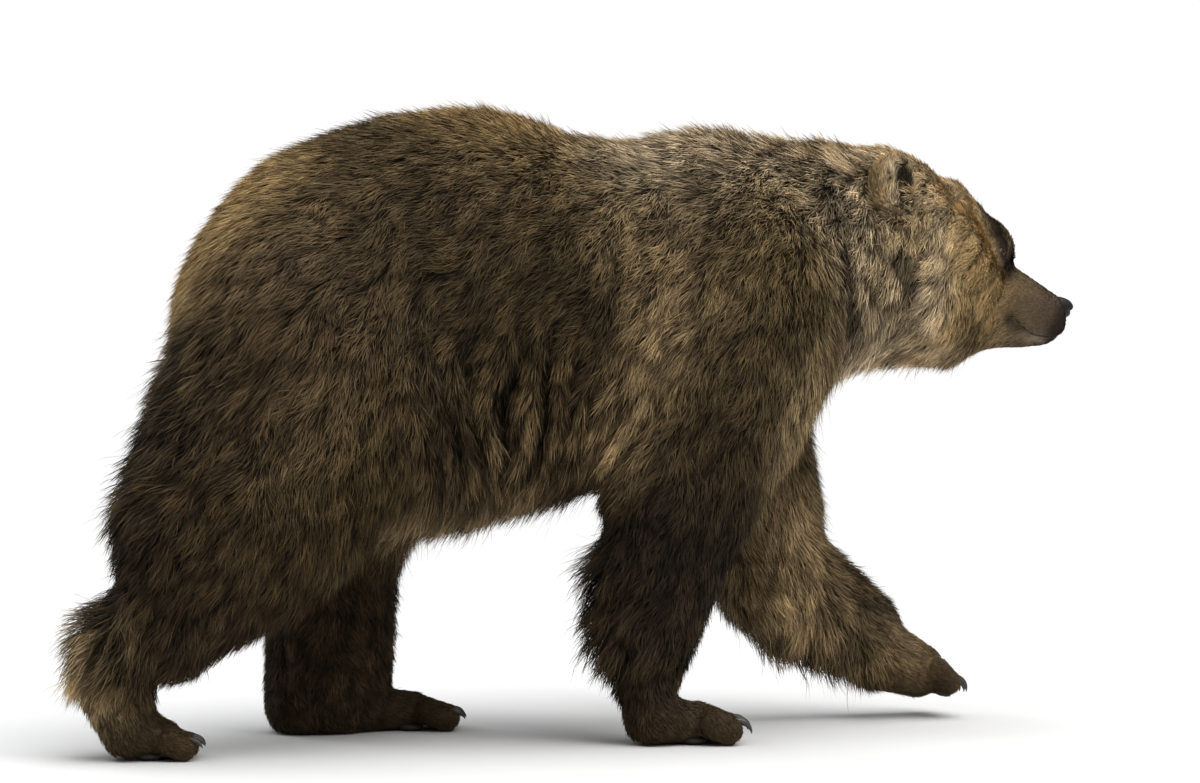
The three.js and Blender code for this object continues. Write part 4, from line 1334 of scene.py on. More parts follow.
def pebble_group() -> Tree:
    """Fine pebbled leather: a height field of small domes with wrinkles over them."""
    number, vector = "NodeSocketFloat", "NodeSocketVector"
    group = new_group("pebbles", {"Scale": number, "Strength": number}, {"Normal": vector, "Fleck": number})
    source = group.nodes.new("NodeGroupInput").outputs
    place = add_node(group, "ShaderNodeTexCoord").outputs["Object"]
    domes = add_node(group, "ShaderNodeTexVoronoi", {"Vector": place, "Scale": source["Scale"]},
                     feature="SMOOTH_F1")
    wrinkles = add_node(group, "ShaderNodeTexNoise", {"Vector": place, "Scale": source["Scale"],
                                                      "Detail": 5.0})
    height = add_node(group, "ShaderNodeMath", {0: domes.outputs["Distance"], 1: -1.0,
                                                2: wrinkles.outputs["Fac"]}, operation="MULTIPLY_ADD")
    bump = add_node(group, "ShaderNodeBump", {"Height": height.outputs[0], "Strength": source["Strength"],
                                              "Distance": 0.001})
    sink = group.nodes.new("NodeGroupOutput")
    group.links.new(bump.outputs["Normal"], sink.inputs["Normal"])
    group.links.new(wrinkles.outputs["Fac"], sink.inputs["Fleck"])
    return group


def hair_tone(shader: Shader, tone: Tree, **values: object) -> Node:
    """Place the hair group in a material, fed by the piece's own attributes and by the values given.

    Args:
        shader: the material's tree.
        tone: the hair group.
        values: its other inputs.

    Returns:
        the group's node.
    """
    node = shader.node("ShaderNodeGroup", node_tree=tone)
    for key in ("Marking", "Strand", "Shade", "Frost", "Across"):
        if key not in values:
            source = shader.node("ShaderNodeAttribute", attribute_name=key.lower())
            values[key] = source.outputs["Color" if key == "Marking" else "Fac"]
    for key, value in values.items():
        join(shader.tree, value, node.inputs[key])
    return node


@dataclass(frozen=True)
class CoatFinish:
    """Hair: its marking's colour, rough and hardly shiny."""

    tone: Tree
    name: str = "coat_hair"
    # root: how dark the roots are, partly their own colour and partly painted shade deep in the coat.
    root: float = 0.10
    mottle: float = 0.8
    shine: float = 0.14

    def material(self) -> Material:
        """The coat's material."""
        shader = Shader(self.name)
        tone = hair_tone(shader, self.tone, Root=self.root, Mottle=self.mottle)
        shader.set(Base_Color=tone.outputs["Colour"], Roughness=tone.outputs["Gloss"],
                   Specular_IOR_Level=self.shine)
        return shader.material


@dataclass(frozen=True)
class SkinFinish:
    """The skin and its underfur: the coat's markings, darker (own colour and painted shade), with a bump like
    short combed hair.
    """

    tone: Tree
    name: str = "skin_underfur"
    # shade and root keep the skin dark: the underfur's own colour with painted shade under the coat.
    shade: float = 0.4
    root: float = 0.04
    mottle: float = 0.6
    shine: float = 0.12

    def material(self) -> Material:
        """The skin's material."""
        shader = Shader(self.name)
        tone = hair_tone(shader, self.tone, Shade=self.shade, Frost=0.0, Across=0.0, Root=self.root,
                         Mottle=self.mottle)
        hairs = shader.noise(shader.stretched((0.25, 1.0, 1.0)), 900.0, 3.0)
        shader.set(Base_Color=tone.outputs["Colour"], Roughness=tone.outputs["Gloss"],
                   Normal=shader.bump(hairs, 0.35, 0.001), Specular_IOR_Level=self.shine)
        return shader.material


@dataclass(frozen=True)
class LeatherFinish:
    """Bare dark skin, as on the nose, lips, lids and pads."""

    pebbles: Tree
    name: str
    colour: Colour
    worn: Colour
    scale: float
    strength: float
    roughness: tuple[float, float]
    wet: float = 0.0
    shine: float = 0.1

    def material(self) -> Material:
        """The leather's material."""
        shader = Shader(self.name)
        pebbles = shader.node("ShaderNodeGroup", node_tree=self.pebbles)
        pebbles.inputs["Scale"].default_value = self.scale
        pebbles.inputs["Strength"].default_value = self.strength
        fleck = pebbles.outputs["Fleck"]
        shader.set(Base_Color=shader.blended(fleck, self.colour, self.worn),
                   Roughness=shader.between(fleck, *self.roughness), Normal=pebbles.outputs["Normal"],
                   Coat_Weight=self.wet, Coat_Roughness=0.18, Specular_IOR_Level=self.shine)
        return shader.material


@dataclass(frozen=True)
class EyeFinish:
    """A wet dark eye: black pupil, brown iris with fine spokes, darker rim."""

    name: str = "wet_eye"
    iris: Colour = (0.035, 0.014, 0.006)
    rim: Colour = (0.006, 0.004, 0.003)
    pupil: Colour = (0.002, 0.002, 0.002)
    pupil_edge: float = 0.36
    iris_edge: float = 0.8
    soft: float = 0.12

    def material(self) -> Material:
        """The eye's material."""
        shader = Shader(self.name)
        away = shader.carried("away")
        spokes = shader.noise(shader.place(), 1400.0, 2.0)
        jitter = shader.node("ShaderNodeMath", {0: spokes, 1: self.soft, 2: away}, operation="MULTIPLY_ADD")
        ramp = shader.node("ShaderNodeValToRGB", {"Fac": jitter.outputs[0]})
        stops = ramp.color_ramp.elements
        stops[0].position, stops[0].color = self.pupil_edge, rgba(self.pupil)
        stops[1].position, stops[1].color = self.iris_edge + self.soft, rgba(self.rim)
        for position in (self.pupil_edge + 0.05, self.iris_edge):
            stops.new(position).color = rgba(self.iris)
        shader.set(Base_Color=ramp.outputs["Color"], Roughness=shader.between(spokes, 0.06, 0.16),
                   Coat_Weight=0.55, Coat_Roughness=0.03, Specular_IOR_Level=0.0)
        return shader.material


@dataclass(frozen=True)
class HornFinish:
    """Claw horn: dark grey-brown, paler and more worn towards the tip, with lengthwise streaks."""

    name: str = "claw_horn"
    base: Colour = (0.022, 0.017, 0.014)
    tip: Colour = (0.06, 0.051, 0.043)

    def material(self) -> Material:
        """The claws' material."""
        shader = Shader(self.name)
        streaks = shader.noise(shader.stretched((0.15, 1.0, 0.4)), 700.0, 4.0)
        fade = multiplied(shader.tree, shader.carried("strand"), streaks)
        shader.set(Base_Color=shader.blended(fade, self.base, self.tip),
                   Roughness=shader.between(streaks, 0.25, 0.5), Normal=shader.bump(streaks, 0.4, 0.0005))
        return shader.material


# ---- the skin ----
SMOOTHING_ROUNDS = 14
RIM_FRINGE = 13.0
EYE_BARE = (12.0, 16.0)
NOSE_BARE = (21.0, 27.0)
CREASE_BARE = (2.6, 4.6)
SOLE_FACING = -0.6
SOLE_HEIGHT = 12.0
FACE_DENSITY = 270000.0
RUFF_LENGTH, FACE_SHORTER = 64.0, 42.0
RUFF_WIDTH, FACE_FINER = 2.1, 0.9
LID_LENGTH, LID_WIDTH = 5.5, 0.8
FLESH_NODES = ["trunk", "tail", "neck", "head", "muzzle", "lower_jaw", "ear_right", "ear_left"] + [
    f"{foot.name}_{piece}" for foot in FEET for piece in ("upper_leg", "lower_leg", "foot")]


@dataclass
class Skin:
    """The bear's one skin, and everything about the coat at each of its vertices."""

    body: Body
    points: Array = field(init=False)
    normals: Array = field(init=False)
    triangles: Array = field(init=False)
    grown: dict[str, Array] = field(init=False)
    parts: Array = field(init=False)

    def build(self) -> Thing:
        """Polygonise the skin, settle it on the field and work out its coat.

        Returns:
            The skin's object.
        """
        axes = [axis.lines() for axis in GRID]
        values = banded_values(self.body.skin_distance, axes)
        points, quads = surface_nets(values, axes)
        points, quads = largest_shell(points, quads)
        self.points, self.normals = settled(self.body.skin_distance, points, 2, 3.0)
        self.triangles = split_quads(quads, self.points)
        self.grow()
        values = {"marking": self.grown["marking"], "strand": self.grown["bareness"]}
        return make_object("skin", self.points, self.triangles, values)

    def grow(self) -> None:
        """Work out each vertex's coat: lie, lengths, colours and which part it belongs to."""
        names = ("length", "width", "lift", "density", "wave", "clump", "hang", "frost", "levels")
        count = len(self.points)
        grown = {name: np.zeros(count) for name in names}
        lie = np.zeros((count, 3))
        tint = np.zeros((count, 3))
        shares = {part: np.zeros(count) for part in Part}
        for mass, share, t in self.body.weights(self.points):
            for name in names:
                grown[name] += share * mass.coat_value(name, t)
            lie += share[:, None] * unit(np.array(mass.lie, float))
            first = np.array(mass.coat.value.tint.value)
            last = np.array((mass.end_coat or mass.coat).value.tint.value)
            tint += share[:, None] * (first + (last - first) * t[:, None])
            shares[mass.part] += share
        self.shorten_face(grown)
        for mark in MARKS:
            tint += (np.array(mark.tint.value) - tint) * mark.amount(self.points)[:, None]
        share, height = self.body.rope(self.points)
        # Painted shade: the colour darkens down in the gaps between the flank's rolls.
        tint *= (1.0 - 0.9 * share * (1.0 - smoothstep(height, 0.25, 0.8)))[:, None]
        lie = lie + share[:, None] * (self.hanging() - lie)
        for combing in COMBINGS:
            amount = combing.amount(self.points)
            lie = lie + amount[:, None] * (combing.way(self.points) - lie)
            grown["length"] = grown["length"] + amount * combing.longer
        self.add_ears(grown, lie, tint, shares)
        self.parts = np.argmax(np.stack([shares[part] for part in Part]), axis=0)
        lie = self.smoothed(lie)
        lie = unit(lie - self.normals * dots(lie, self.normals))
        self.thin(grown)
        # Where the coat is long the skin is darker: painted shade under the coat, over the underfur's own
        # darker colour.
        short = 1.0 - smoothstep(grown["length"], 8.0, 40.0)
        self.grown = {**grown, "lie": lie, "marking": tint, "bareness": 0.12 + 0.5 * short}

    def hanging(self) -> Array:
        """The way down along the rolls of the flank, which fan out upwards."""
        x, _, z = self.points.T
        lean = -(x - FOLD_MIDDLE) / (FOLD_FAN + z - FOLD_HEIGHT)
        return unit(np.stack([lean, np.zeros_like(x), -np.ones_like(x)], axis=1))

    def shorten_face(self, grown: dict[str, Array]) -> None:
        """Cap the coat's length over the skull, so that it grades into the ruff."""
        face = self.body.face_share(self.points)
        grown["length"] = np.minimum(grown["length"], RUFF_LENGTH - FACE_SHORTER * face)
        grown["density"] = np.maximum(grown["density"], FACE_DENSITY * smoothstep(face, 0.45, 0.8))
        grown["width"] = np.minimum(grown["width"], RUFF_WIDTH - FACE_FINER * face)
        grown["levels"] = np.where(face > 0.5, np.minimum(grown["levels"], 2.0), grown["levels"])

    def add_ears(self, grown: dict[str, Array], lie: Array, tint: Array, shares: dict[Part, Array]) -> None:
        """Give the ears a short coat from root to rim, dark and thin inside, pale and longer on the rim. The
        dark inside is partly the ear's own dark hair and partly painted shade in the hollow.

        Args:
            grown: what grows at each vertex; its rows change.
            lie: which way the hair lies; its rows change.
            tint: the hair's colour; its rows change.
            shares: how much of each part a vertex is.
        """
        fleece = Coat.EAR.value
        for ear in EARS:
            share = ear.cover(self.points)
            for name in grown:
                grown[name] += share * (getattr(fleece, name) - grown[name])
            lie += share[:, None] * (ear.outward_lie() - lie)
            inside, rim = ear.inside(self.points), ear.rim(self.points)
            # The hollow's near-black is partly the ear's dark inner hair and partly painted shade in the cup.
            shades = ((share, fleece.tint), (0.7 * rim, Tint.PALE), (0.95 * inside, Tint.PITCH))
            for amount, colour in shades:
                tint += amount[:, None] * (np.array(colour.value) - tint)
            grown["length"] += RIM_FRINGE * rim * (1.0 - inside) - 2.0 * inside
            grown["density"] *= 1.0 - 0.5 * inside
            for part in shares:
                shares[part] *= 1.0 - share
            shares[Part.EAR] += share

    def thin(self, grown: dict[str, Array]) -> None:
        """Thin the coat at the eyes, nose, mouth and soles.

        Args:
            grown: what grows at each vertex; its rows change.
        """
        eye = self.body.eye_distance(self.points)
        near_eye = 1.0 - smoothstep(eye, EYE_SOCKET * 0.7, EYE_SOCKET * 1.9)
        grown["length"] += (LID_LENGTH - grown["length"]) * near_eye
        grown["width"] += (LID_WIDTH - grown["width"]) * near_eye
        grown["density"] *= smoothstep(eye, *EYE_BARE)
        nose = lengths(to_head(self.points) - np.array(NOSE_CENTRE))
        grown["density"] *= smoothstep(nose, *NOSE_BARE)
        grown["density"] *= 1.0 - smoothstep(self.body.mouth(self.points), *CREASE_BARE)
        sole = (self.normals[:, 2] < SOLE_FACING) & (self.points[:, 2] < SOLE_HEIGHT)
        grown["density"][sole] = 0.0

    def smoothed(self, values: Array) -> Array:
        """Average each vertex with its neighbours, a number of times over.

        Args:
            values: a row for each vertex.

        Returns:
            the averaged rows.
        """
        edges = np.concatenate([self.triangles[:, ends] for ends in ([0, 1], [1, 2], [2, 0])])
        count = len(self.points)
        degree = np.maximum(np.bincount(edges.ravel(), minlength=count), 1)
        for _ in range(SMOOTHING_ROUNDS):
            mean = np.stack([
                np.bincount(edges[:, 0], values[edges[:, 1], n], count)
                + np.bincount(edges[:, 1], values[edges[:, 0], n], count) for n in range(3)], axis=1)
            values = 0.5 * values + 0.5 * mean / degree[:, None]
        return values


def largest_shell(points: Array, quads: Array) -> Shape:
    """Keep the biggest connected part of a surface.

    Args:
        points: Vertices.
        quads: Faces.

    Returns:
        The vertices and faces that are left.
    """
    label = np.arange(len(points))
    edges = np.concatenate([quads[:, ends] for ends in ([0, 1], [1, 2], [2, 3], [3, 0])])
    while True:
        low = np.minimum(label[edges[:, 0]], label[edges[:, 1]])
        fresh = label.copy()
        np.minimum.at(fresh, edges[:, 0], low)
        np.minimum.at(fresh, edges[:, 1], low)
        fresh = fresh[fresh]
        if np.array_equal(fresh, label):
            break
        label = fresh
    main = np.bincount(label).argmax()
    keep = label == main
    renumber = np.cumsum(keep) - 1
    return points[keep], renumber[quads[keep[quads[:, 0]]]]


# ---- the coat ----
PATCH = 0.003
ROOT_SUNK = 1.5
LEVEL_OUT = 0.45
HANG_POWER = 1.6
WAVE_TURN = 4.5
PULL_POWER = 1.3
RIBBON_LEVELS = {2: (0.0, 0.55, 1.0), 3: (0.0, 0.36, 0.72, 1.0)}
RIBBON_WIDTHS = {2: (0.85, 0.9), 3: (0.8, 1.0, 0.7)}


@dataclass(frozen=True)
class Pelt:
    """One piece of the coat: which part it covers, which side of it, and how it unrolls."""

    name: str
    part: Part
    side: int
    low: Point
    high: Point
    behind: float = np.inf
    ahead: float = -np.inf

    def covers(self, skin: Skin, roots: Array, part: Array) -> Array:
        """Which tufts belong to this piece.

        Args:
            skin: the skin.
            roots: the tufts' places.
            part: the number of each tuft's part.

        Returns:
            true for each tuft that belongs.
        """
        belongs = part == list(Part).index(self.part)
        middle = HEAD_PIVOT[1] if self.part in (Part.HEAD, Part.MUZZLE, Part.EAR) else 0.0
        if self.side:
            belongs &= (roots[:, 1] - middle) * self.side >= 0
        belongs &= (roots[:, 0] >= self.ahead) & (roots[:, 0] < self.behind)
        return belongs

    def unrolled(self, roots: Array) -> Array:
        """Unroll about the part's axis: the angle round it and the distance along it, each filling 0..1.

        Args:
            roots: the tufts' places.

        Returns:
            the two shares for each tuft, (n, 2).
        """
        low = np.array(self.low, float)
        axis = unit(np.array(self.high, float) - low)
        q = roots - low
        along = q @ axis
        side = unit(np.cross(axis, [0.0, 1.0, 0.0] if abs(axis[2]) > 0.7 else [0.0, 0.0, 1.0]))
        other = np.cross(axis, side)
        angle = np.arctan2(q @ other, q @ side)
        if self.side:
            angle = np.mod(angle - np.median(angle) + np.pi, 2.0 * np.pi)
        flat = np.stack([angle, along], axis=1)
        span = np.maximum(np.ptp(flat, axis=0), 1e-6)
        return PATCH + (flat - flat.min(axis=0)) / span * (1.0 - 3.0 * PATCH)


BACK_LINE = ((-800, 0, 760), (500, 0, 790))
NECK_LINE = ((200, 0, 850), (760, 60, 830))
HEAD_LINE = ((450, 10, 860), (900, 100, 800))
TRUNK_CUT = -235.0
PELTS = (
    Pelt("coat_rear_right", Part.TRUNK, -1, *BACK_LINE, behind=TRUNK_CUT),
    Pelt("coat_rear_left", Part.TRUNK, 1, *BACK_LINE, behind=TRUNK_CUT),
    Pelt("coat_front_right", Part.TRUNK, -1, *BACK_LINE, ahead=TRUNK_CUT),
    Pelt("coat_front_left", Part.TRUNK, 1, *BACK_LINE, ahead=TRUNK_CUT),
    Pelt("coat_neck_right", Part.NECK, -1, *NECK_LINE),
    Pelt("coat_neck_left", Part.NECK, 1, *NECK_LINE),
    Pelt("coat_head_right", Part.HEAD, -1, *HEAD_LINE),
    Pelt("coat_head_left", Part.HEAD, 1, *HEAD_LINE),
    Pelt("coat_ears", Part.EAR, 0, (450, 10, 960), (700, 60, 960)),
    Pelt("coat_muzzle", Part.MUZZLE, 0, (650, 50, 780), (930, 110, 740)),
    Pelt("coat_right_hind_leg", Part.RIGHT_HIND, 0, (-800, -175, 40), (-560, -150, 600)),
    Pelt("coat_left_hind_leg", Part.LEFT_HIND, 0, (-450, 162, 0), (-440, 140, 620)),
    Pelt("coat_right_fore_leg", Part.RIGHT_FORE, 0, (60, -170, 0), (180, -150, 700)),
    Pelt("coat_left_fore_leg", Part.LEFT_FORE, 0, (680, 158, 80), (280, 140, 600)),
)


def mixed(values: Array, shares: Array) -> Array:
    """Values at triangles' corners, mixed by the share of each corner."""
    return np.einsum("nk,nk...->n...", shares, values)


@dataclass(frozen=True)
class Chance:
    """How far tufts, the wisps they form and the locks that wisps form differ from each other."""

    lock_size: float = 36.0
    wisp_size: float = 9.0
    wide_sway: float = 0.24
    wide_wave: float = 110.0
    lock_sway: float = 0.40
    wisp_sway: float = 0.34
    own_sway: float = 0.20
    short_sway: float = 0.35
    face_calm: float = 0.6
    fold_calm: float = 0.5
    length: tuple[float, float] = (0.7, 1.1)
    spread: tuple[float, float] = (0.65, 1.4)
    width: tuple[float, float] = (0.8, 1.2)
    guard_share: float = 0.07
    guard_length: float = 1.25
    guard_spread: float = 1.35
    guard_width: float = 0.7
    shade: Point = (0.48, 0.30, 0.22)
    face_even: float = 0.45
    face_soft: float = 0.4
    # Painted shade in the gaps between locks, on the tufts' shade and on their colour.
    gap_painted_dimming: float = 0.3
    gap_short: float = 0.3
    gap_painted_shade: float = 0.75
    # Painted shade in the hollows between the flank's rolls and painted light on their crests.
    fold_painted_shade: float = 0.92
    crest_painted_light: float = 1.1
    fold_short: float = 0.35
    phase: float = 0.4
    roll: float = 0.6
    lock_pull: float = 0.4
    rope_pull: float = 0.35
    flat_pull: float = 0.85


@dataclass
class CoatOfTufts:
    """All the tufts: where they are rooted and how each one runs."""

    skin: Skin
    seed: int = 41
    chance: Chance = Chance()
    roots: Array = field(init=False)
    grown: dict[str, Array] = field(init=False)
    part: Array = field(init=False)

    def scatter(self) -> None:
        """Root the tufts on the skin, as many on each triangle as its area and density ask for."""
        rng = np.random.default_rng(self.seed)
        corners = self.skin.points[self.skin.triangles]
        area = lengths(np.cross(corners[:, 1] - corners[:, 0], corners[:, 2] - corners[:, 0])) / 2
        density = self.skin.grown["density"][self.skin.triangles].mean(axis=1)
        total = np.cumsum(area * 1e-6 * density)
        marks = np.arange(int(total[-1])) + rng.uniform(0.0, 1.0, int(total[-1]))
        face = np.searchsorted(total, np.minimum(marks, total[-1] * 0.999999))
        a, b = rng.uniform(0.0, 1.0, (2, len(face)))
        fold = a + b > 1.0
        a[fold], b[fold] = 1.0 - a[fold], 1.0 - b[fold]
        share = np.stack([1.0 - a - b, a, b], axis=1)
        chosen = self.skin.triangles[face]
        self.roots = mixed(self.skin.points[chosen], share)
        self.grown = {key: mixed(value[chosen], share) for key, value in self.skin.grown.items()}
        self.grown["normal"] = unit(mixed(self.skin.normals[chosen], share))
        self.part = self.skin.parts[chosen[:, 0]]
        self.vary(rng)

    def vary(self, rng: np.random.Generator) -> None:
        """Give each tuft and each lock its own turn, size, shade and pull.

        Args:
            rng: the source of chance.
        """
        g, c, count = self.grown, self.chance, len(self.roots)
        lock, lock_luck, gap = long_clumps(self.roots, c.lock_size, 5)
        wisp, wisp_luck, _ = long_clumps(self.roots, c.wisp_size, 9)
        gap = gap * g["clump"]
        face = self.skin.body.face_share(self.roots)
        share, height = self.skin.body.rope(self.roots)
        calm = (1.0 - c.face_calm * face) * (1.0 - c.fold_calm * share)
        self.turn(rng, lock_luck[:, 0], wisp_luck[:, 0], calm)
        self.size(rng, lock_luck[:, 1], wisp_luck[:, 1], gap)
        luck = c.shade[0] * rng.uniform(0.0, 1.0, count)
        luck = luck + c.shade[1] * wisp_luck[:, 2] + c.shade[2] * lock_luck[:, 2]
        luck = 0.5 + (luck - 0.5) * (1.0 - c.face_even * face)
        # Tufts in the gaps between locks are dimmed: painted shade between the locks.
        g["shade"] = np.clip(luck - c.gap_painted_dimming * gap, 0.0, 1.0)
        g["soften"] = c.face_soft * face
        # Painted shade in the rolls' hollows and in the gaps between locks, painted light on the rolls'
        # crests.
        hollow = c.fold_painted_shade * share * (1.0 - smoothstep(height, 0.2, 0.75))
        crest = c.crest_painted_light * share * smoothstep(height, 0.6, 0.95)
        g["marking"] = g["marking"] * ((1.0 - c.gap_painted_shade * gap) * (1.0 - hollow) * (1.0 + crest))[:, None]
        g["length"] *= 1.0 - c.fold_short * share
        g["luck"] = rng.uniform(0.0, 1.0, count)
        g["phase"] = 2.0 * np.pi * wisp_luck[:, 0] + rng.normal(0.0, c.phase, count)
        g["roll"] = rng.normal(0.0, c.roll, count)
        self.gather(lock, wisp)

    def turn(self, rng: np.random.Generator, lock_luck: Array, wisp_luck: Array, calm: Array) -> None:
        """Turn each tuft a little about the skin's normal, with its lock, its wisp and by itself.

        Args:
            rng: the source of chance.
            lock_luck: a number in 0..1 for the tuft's lock.
            wisp_luck: the same for its wisp.
            calm: the share of the sway that is left.
        """
        g, c = self.grown, self.chance
        lie = unit(g["lie"] - g["normal"] * dots(g["lie"], g["normal"]))
        side = np.cross(g["normal"], lie)
        sway = c.wide_sway * ripples(self.roots, c.wide_wave, 3) + c.lock_sway * (lock_luck - 0.5)
        sway += c.wisp_sway * (wisp_luck - 0.5) + rng.normal(0.0, c.own_sway, len(sway))
        sway *= (c.short_sway + (1.0 - c.short_sway) * smoothstep(g["length"], 8.0, 40.0)) * calm
        g["lie"] = lie * np.cos(sway)[:, None] + side * np.sin(sway)[:, None]
        g["side"] = np.cross(g["normal"], g["lie"])

    def size(self, rng: np.random.Generator, lock_luck: Array, wisp_luck: Array, gap: Array) -> None:
        """Vary the tufts' length, lift and width; a few are long thin guard hairs.

        Args:
            rng: the source of chance.
            lock_luck: a number in 0..1 for the tuft's lock.
            wisp_luck: the same for its wisp.
            gap: how far it stands in a gap between locks.
        """
        g, c, count = self.grown, self.chance, len(gap)
        guard = rng.uniform(0.0, 1.0, count) < c.guard_share
        g["length"] *= rng.uniform(*c.length, count) * (0.9 + 0.2 * lock_luck) * (1.0 - c.gap_short * gap)
        g["length"] *= np.where(guard, c.guard_length, 1.0)
        spread = rng.uniform(*c.spread, count) * np.where(guard, c.guard_spread, 1.0)
        g["lift"] = np.radians(g["lift"] * (0.75 + 0.5 * wisp_luck) * spread)
        g["width"] *= rng.uniform(*c.width, count) * np.where(guard, c.guard_width, 1.0)

    def gather(self, lock: Array, wisp: Array) -> None:
        """Work out how far each tip is drawn towards the middles of its lock and its wisp."""
        g, c = self.grown, self.chance
        roped = (c.lock_pull + c.rope_pull * smoothstep(g["clump"], 0.6, 0.85))[:, None]
        to_lock = (lock - self.roots) * roped + (wisp - self.roots) * (1.0 - roped)
        along, out = dots(to_lock, g["lie"]), dots(to_lock, g["normal"])
        g["pull"] = (to_lock - g["lie"] * along - g["normal"] * out * c.flat_pull) * g["clump"][:, None]

    def centre(self, pick: Array, t: float) -> Array:
        """Places along the tufts, t from 0 at the root to 1 at the tip.

        Each tuft rises at its lift and levels out, hangs by a share of its length, sways in a sine wave
        and is drawn in to the middle of its lock.

        Args:
            pick: which tufts.
            t: the place along them, 0..1.

        Returns:
            the places, (n, 3).
        """
        g = {key: value[pick] for key, value in self.grown.items()}
        length = g["length"][:, None]
        lift = g["lift"][:, None]
        rise = np.sin(lift) * t * (1.0 + LEVEL_OUT - LEVEL_OUT * t)
        run = np.cos(lift) * t
        way = g["lie"] * run + g["normal"] * rise
        way = way + np.array([0.0, 0.0, -1.0]) * g["hang"][:, None] * t ** HANG_POWER
        swing = g["wave"] * np.sin(g["phase"] + WAVE_TURN * t) * t
        way = way + g["side"] * swing[:, None]
        sunk = np.minimum(ROOT_SUNK, 0.06 * length)
        return self.roots[pick] - g["normal"] * sunk + way * length + g["pull"] * t ** PULL_POWER

    def ribbons(self, pick: Array, levels: int) -> tuple[Array, Array, Array, Array]:
        """Tapered ribbons of some tufts.

        Args:
            pick: Numbers of the tufts.
            levels: How many stretches each ribbon has.

        Returns:
            Vertices, triangles, how far along its tuft each vertex is, and each vertex's tuft.
        """
        steps = RIBBON_LEVELS[levels]
        count = len(pick)
        side, normal = self.grown["side"][pick], self.grown["normal"][pick]
        roll = self.grown["roll"][pick][:, None]
        across = side * np.cos(roll) + normal * np.sin(roll)
        width = self.grown["width"][pick][:, None] / 2
        rows = []
        for step, share in zip(steps[:-1], RIBBON_WIDTHS[levels]):
            middle = self.centre(pick, step)
            rows += [middle - across * width * share, middle + across * width * share]
        rows.append(self.centre(pick, steps[-1]))
        points = np.stack(rows, axis=1)
        size = points.shape[1]
        local = []
        for n in range(levels - 1):
            a = 2 * n
            local += [[a, a + 2, a + 1], [a + 1, a + 2, a + 3]]
        local.append([size - 3, size - 1, size - 2])
        triangles = (np.arange(count)[:, None, None] * size + np.array(local)[None]).reshape(-1, 3)
        strand = np.tile(np.append(np.repeat(steps[:-1], 2), steps[-1]), count)
        return points.reshape(-1, 3), triangles, strand, np.repeat(np.arange(count), size)

    def piece(self, pelt: Pelt) -> Optional[Thing]:
        """Build one piece of the coat.

        Args:
            pelt: The piece.

        Returns:
            Its object, or nothing where no tuft belongs to it.
        """
        inside = np.flatnonzero(pelt.covers(self.skin, self.roots, self.part))
        if not len(inside):
            return None
        long = self.grown["levels"][inside] > 2.5
        places = pelt.unrolled(self.roots[inside])
        shapes, strands, owners = [], [], []
        for levels, group in ((3, np.flatnonzero(long)), (2, np.flatnonzero(~long))):
            points, triangles, strand, owner = self.ribbons(inside[group], levels)
            shapes.append((points, triangles))
            strands.append(strand)
            owners.append(group[owner])
        points, triangles = joined(shapes)
        strand, owner = np.concatenate(strands), np.concatenate(owners)
        points[:, 2] = np.maximum(points[:, 2], FLOOR_CLEARANCE)
        corners = places[owner] + np.stack([np.zeros_like(strand), PATCH * strand], axis=1)
        corners[:, 0] += PATCH * (np.arange(len(points)) % 2)
        tuft = inside[owner]
        across = np.where(strand > 0.99, 0.0, np.where(np.arange(len(points)) % 2, 0.5, -0.5))
        strand = strand + (1.0 - strand) * self.grown["soften"][tuft]
        values = {key: self.grown[key][tuft] for key in ("marking", "shade", "frost")}
        values.update(strand=strand, across=90.0 * self.grown["luck"][tuft] + across)
        return make_object(pelt.name, points, triangles, values, np.clip(corners, 0.0, 1.0))


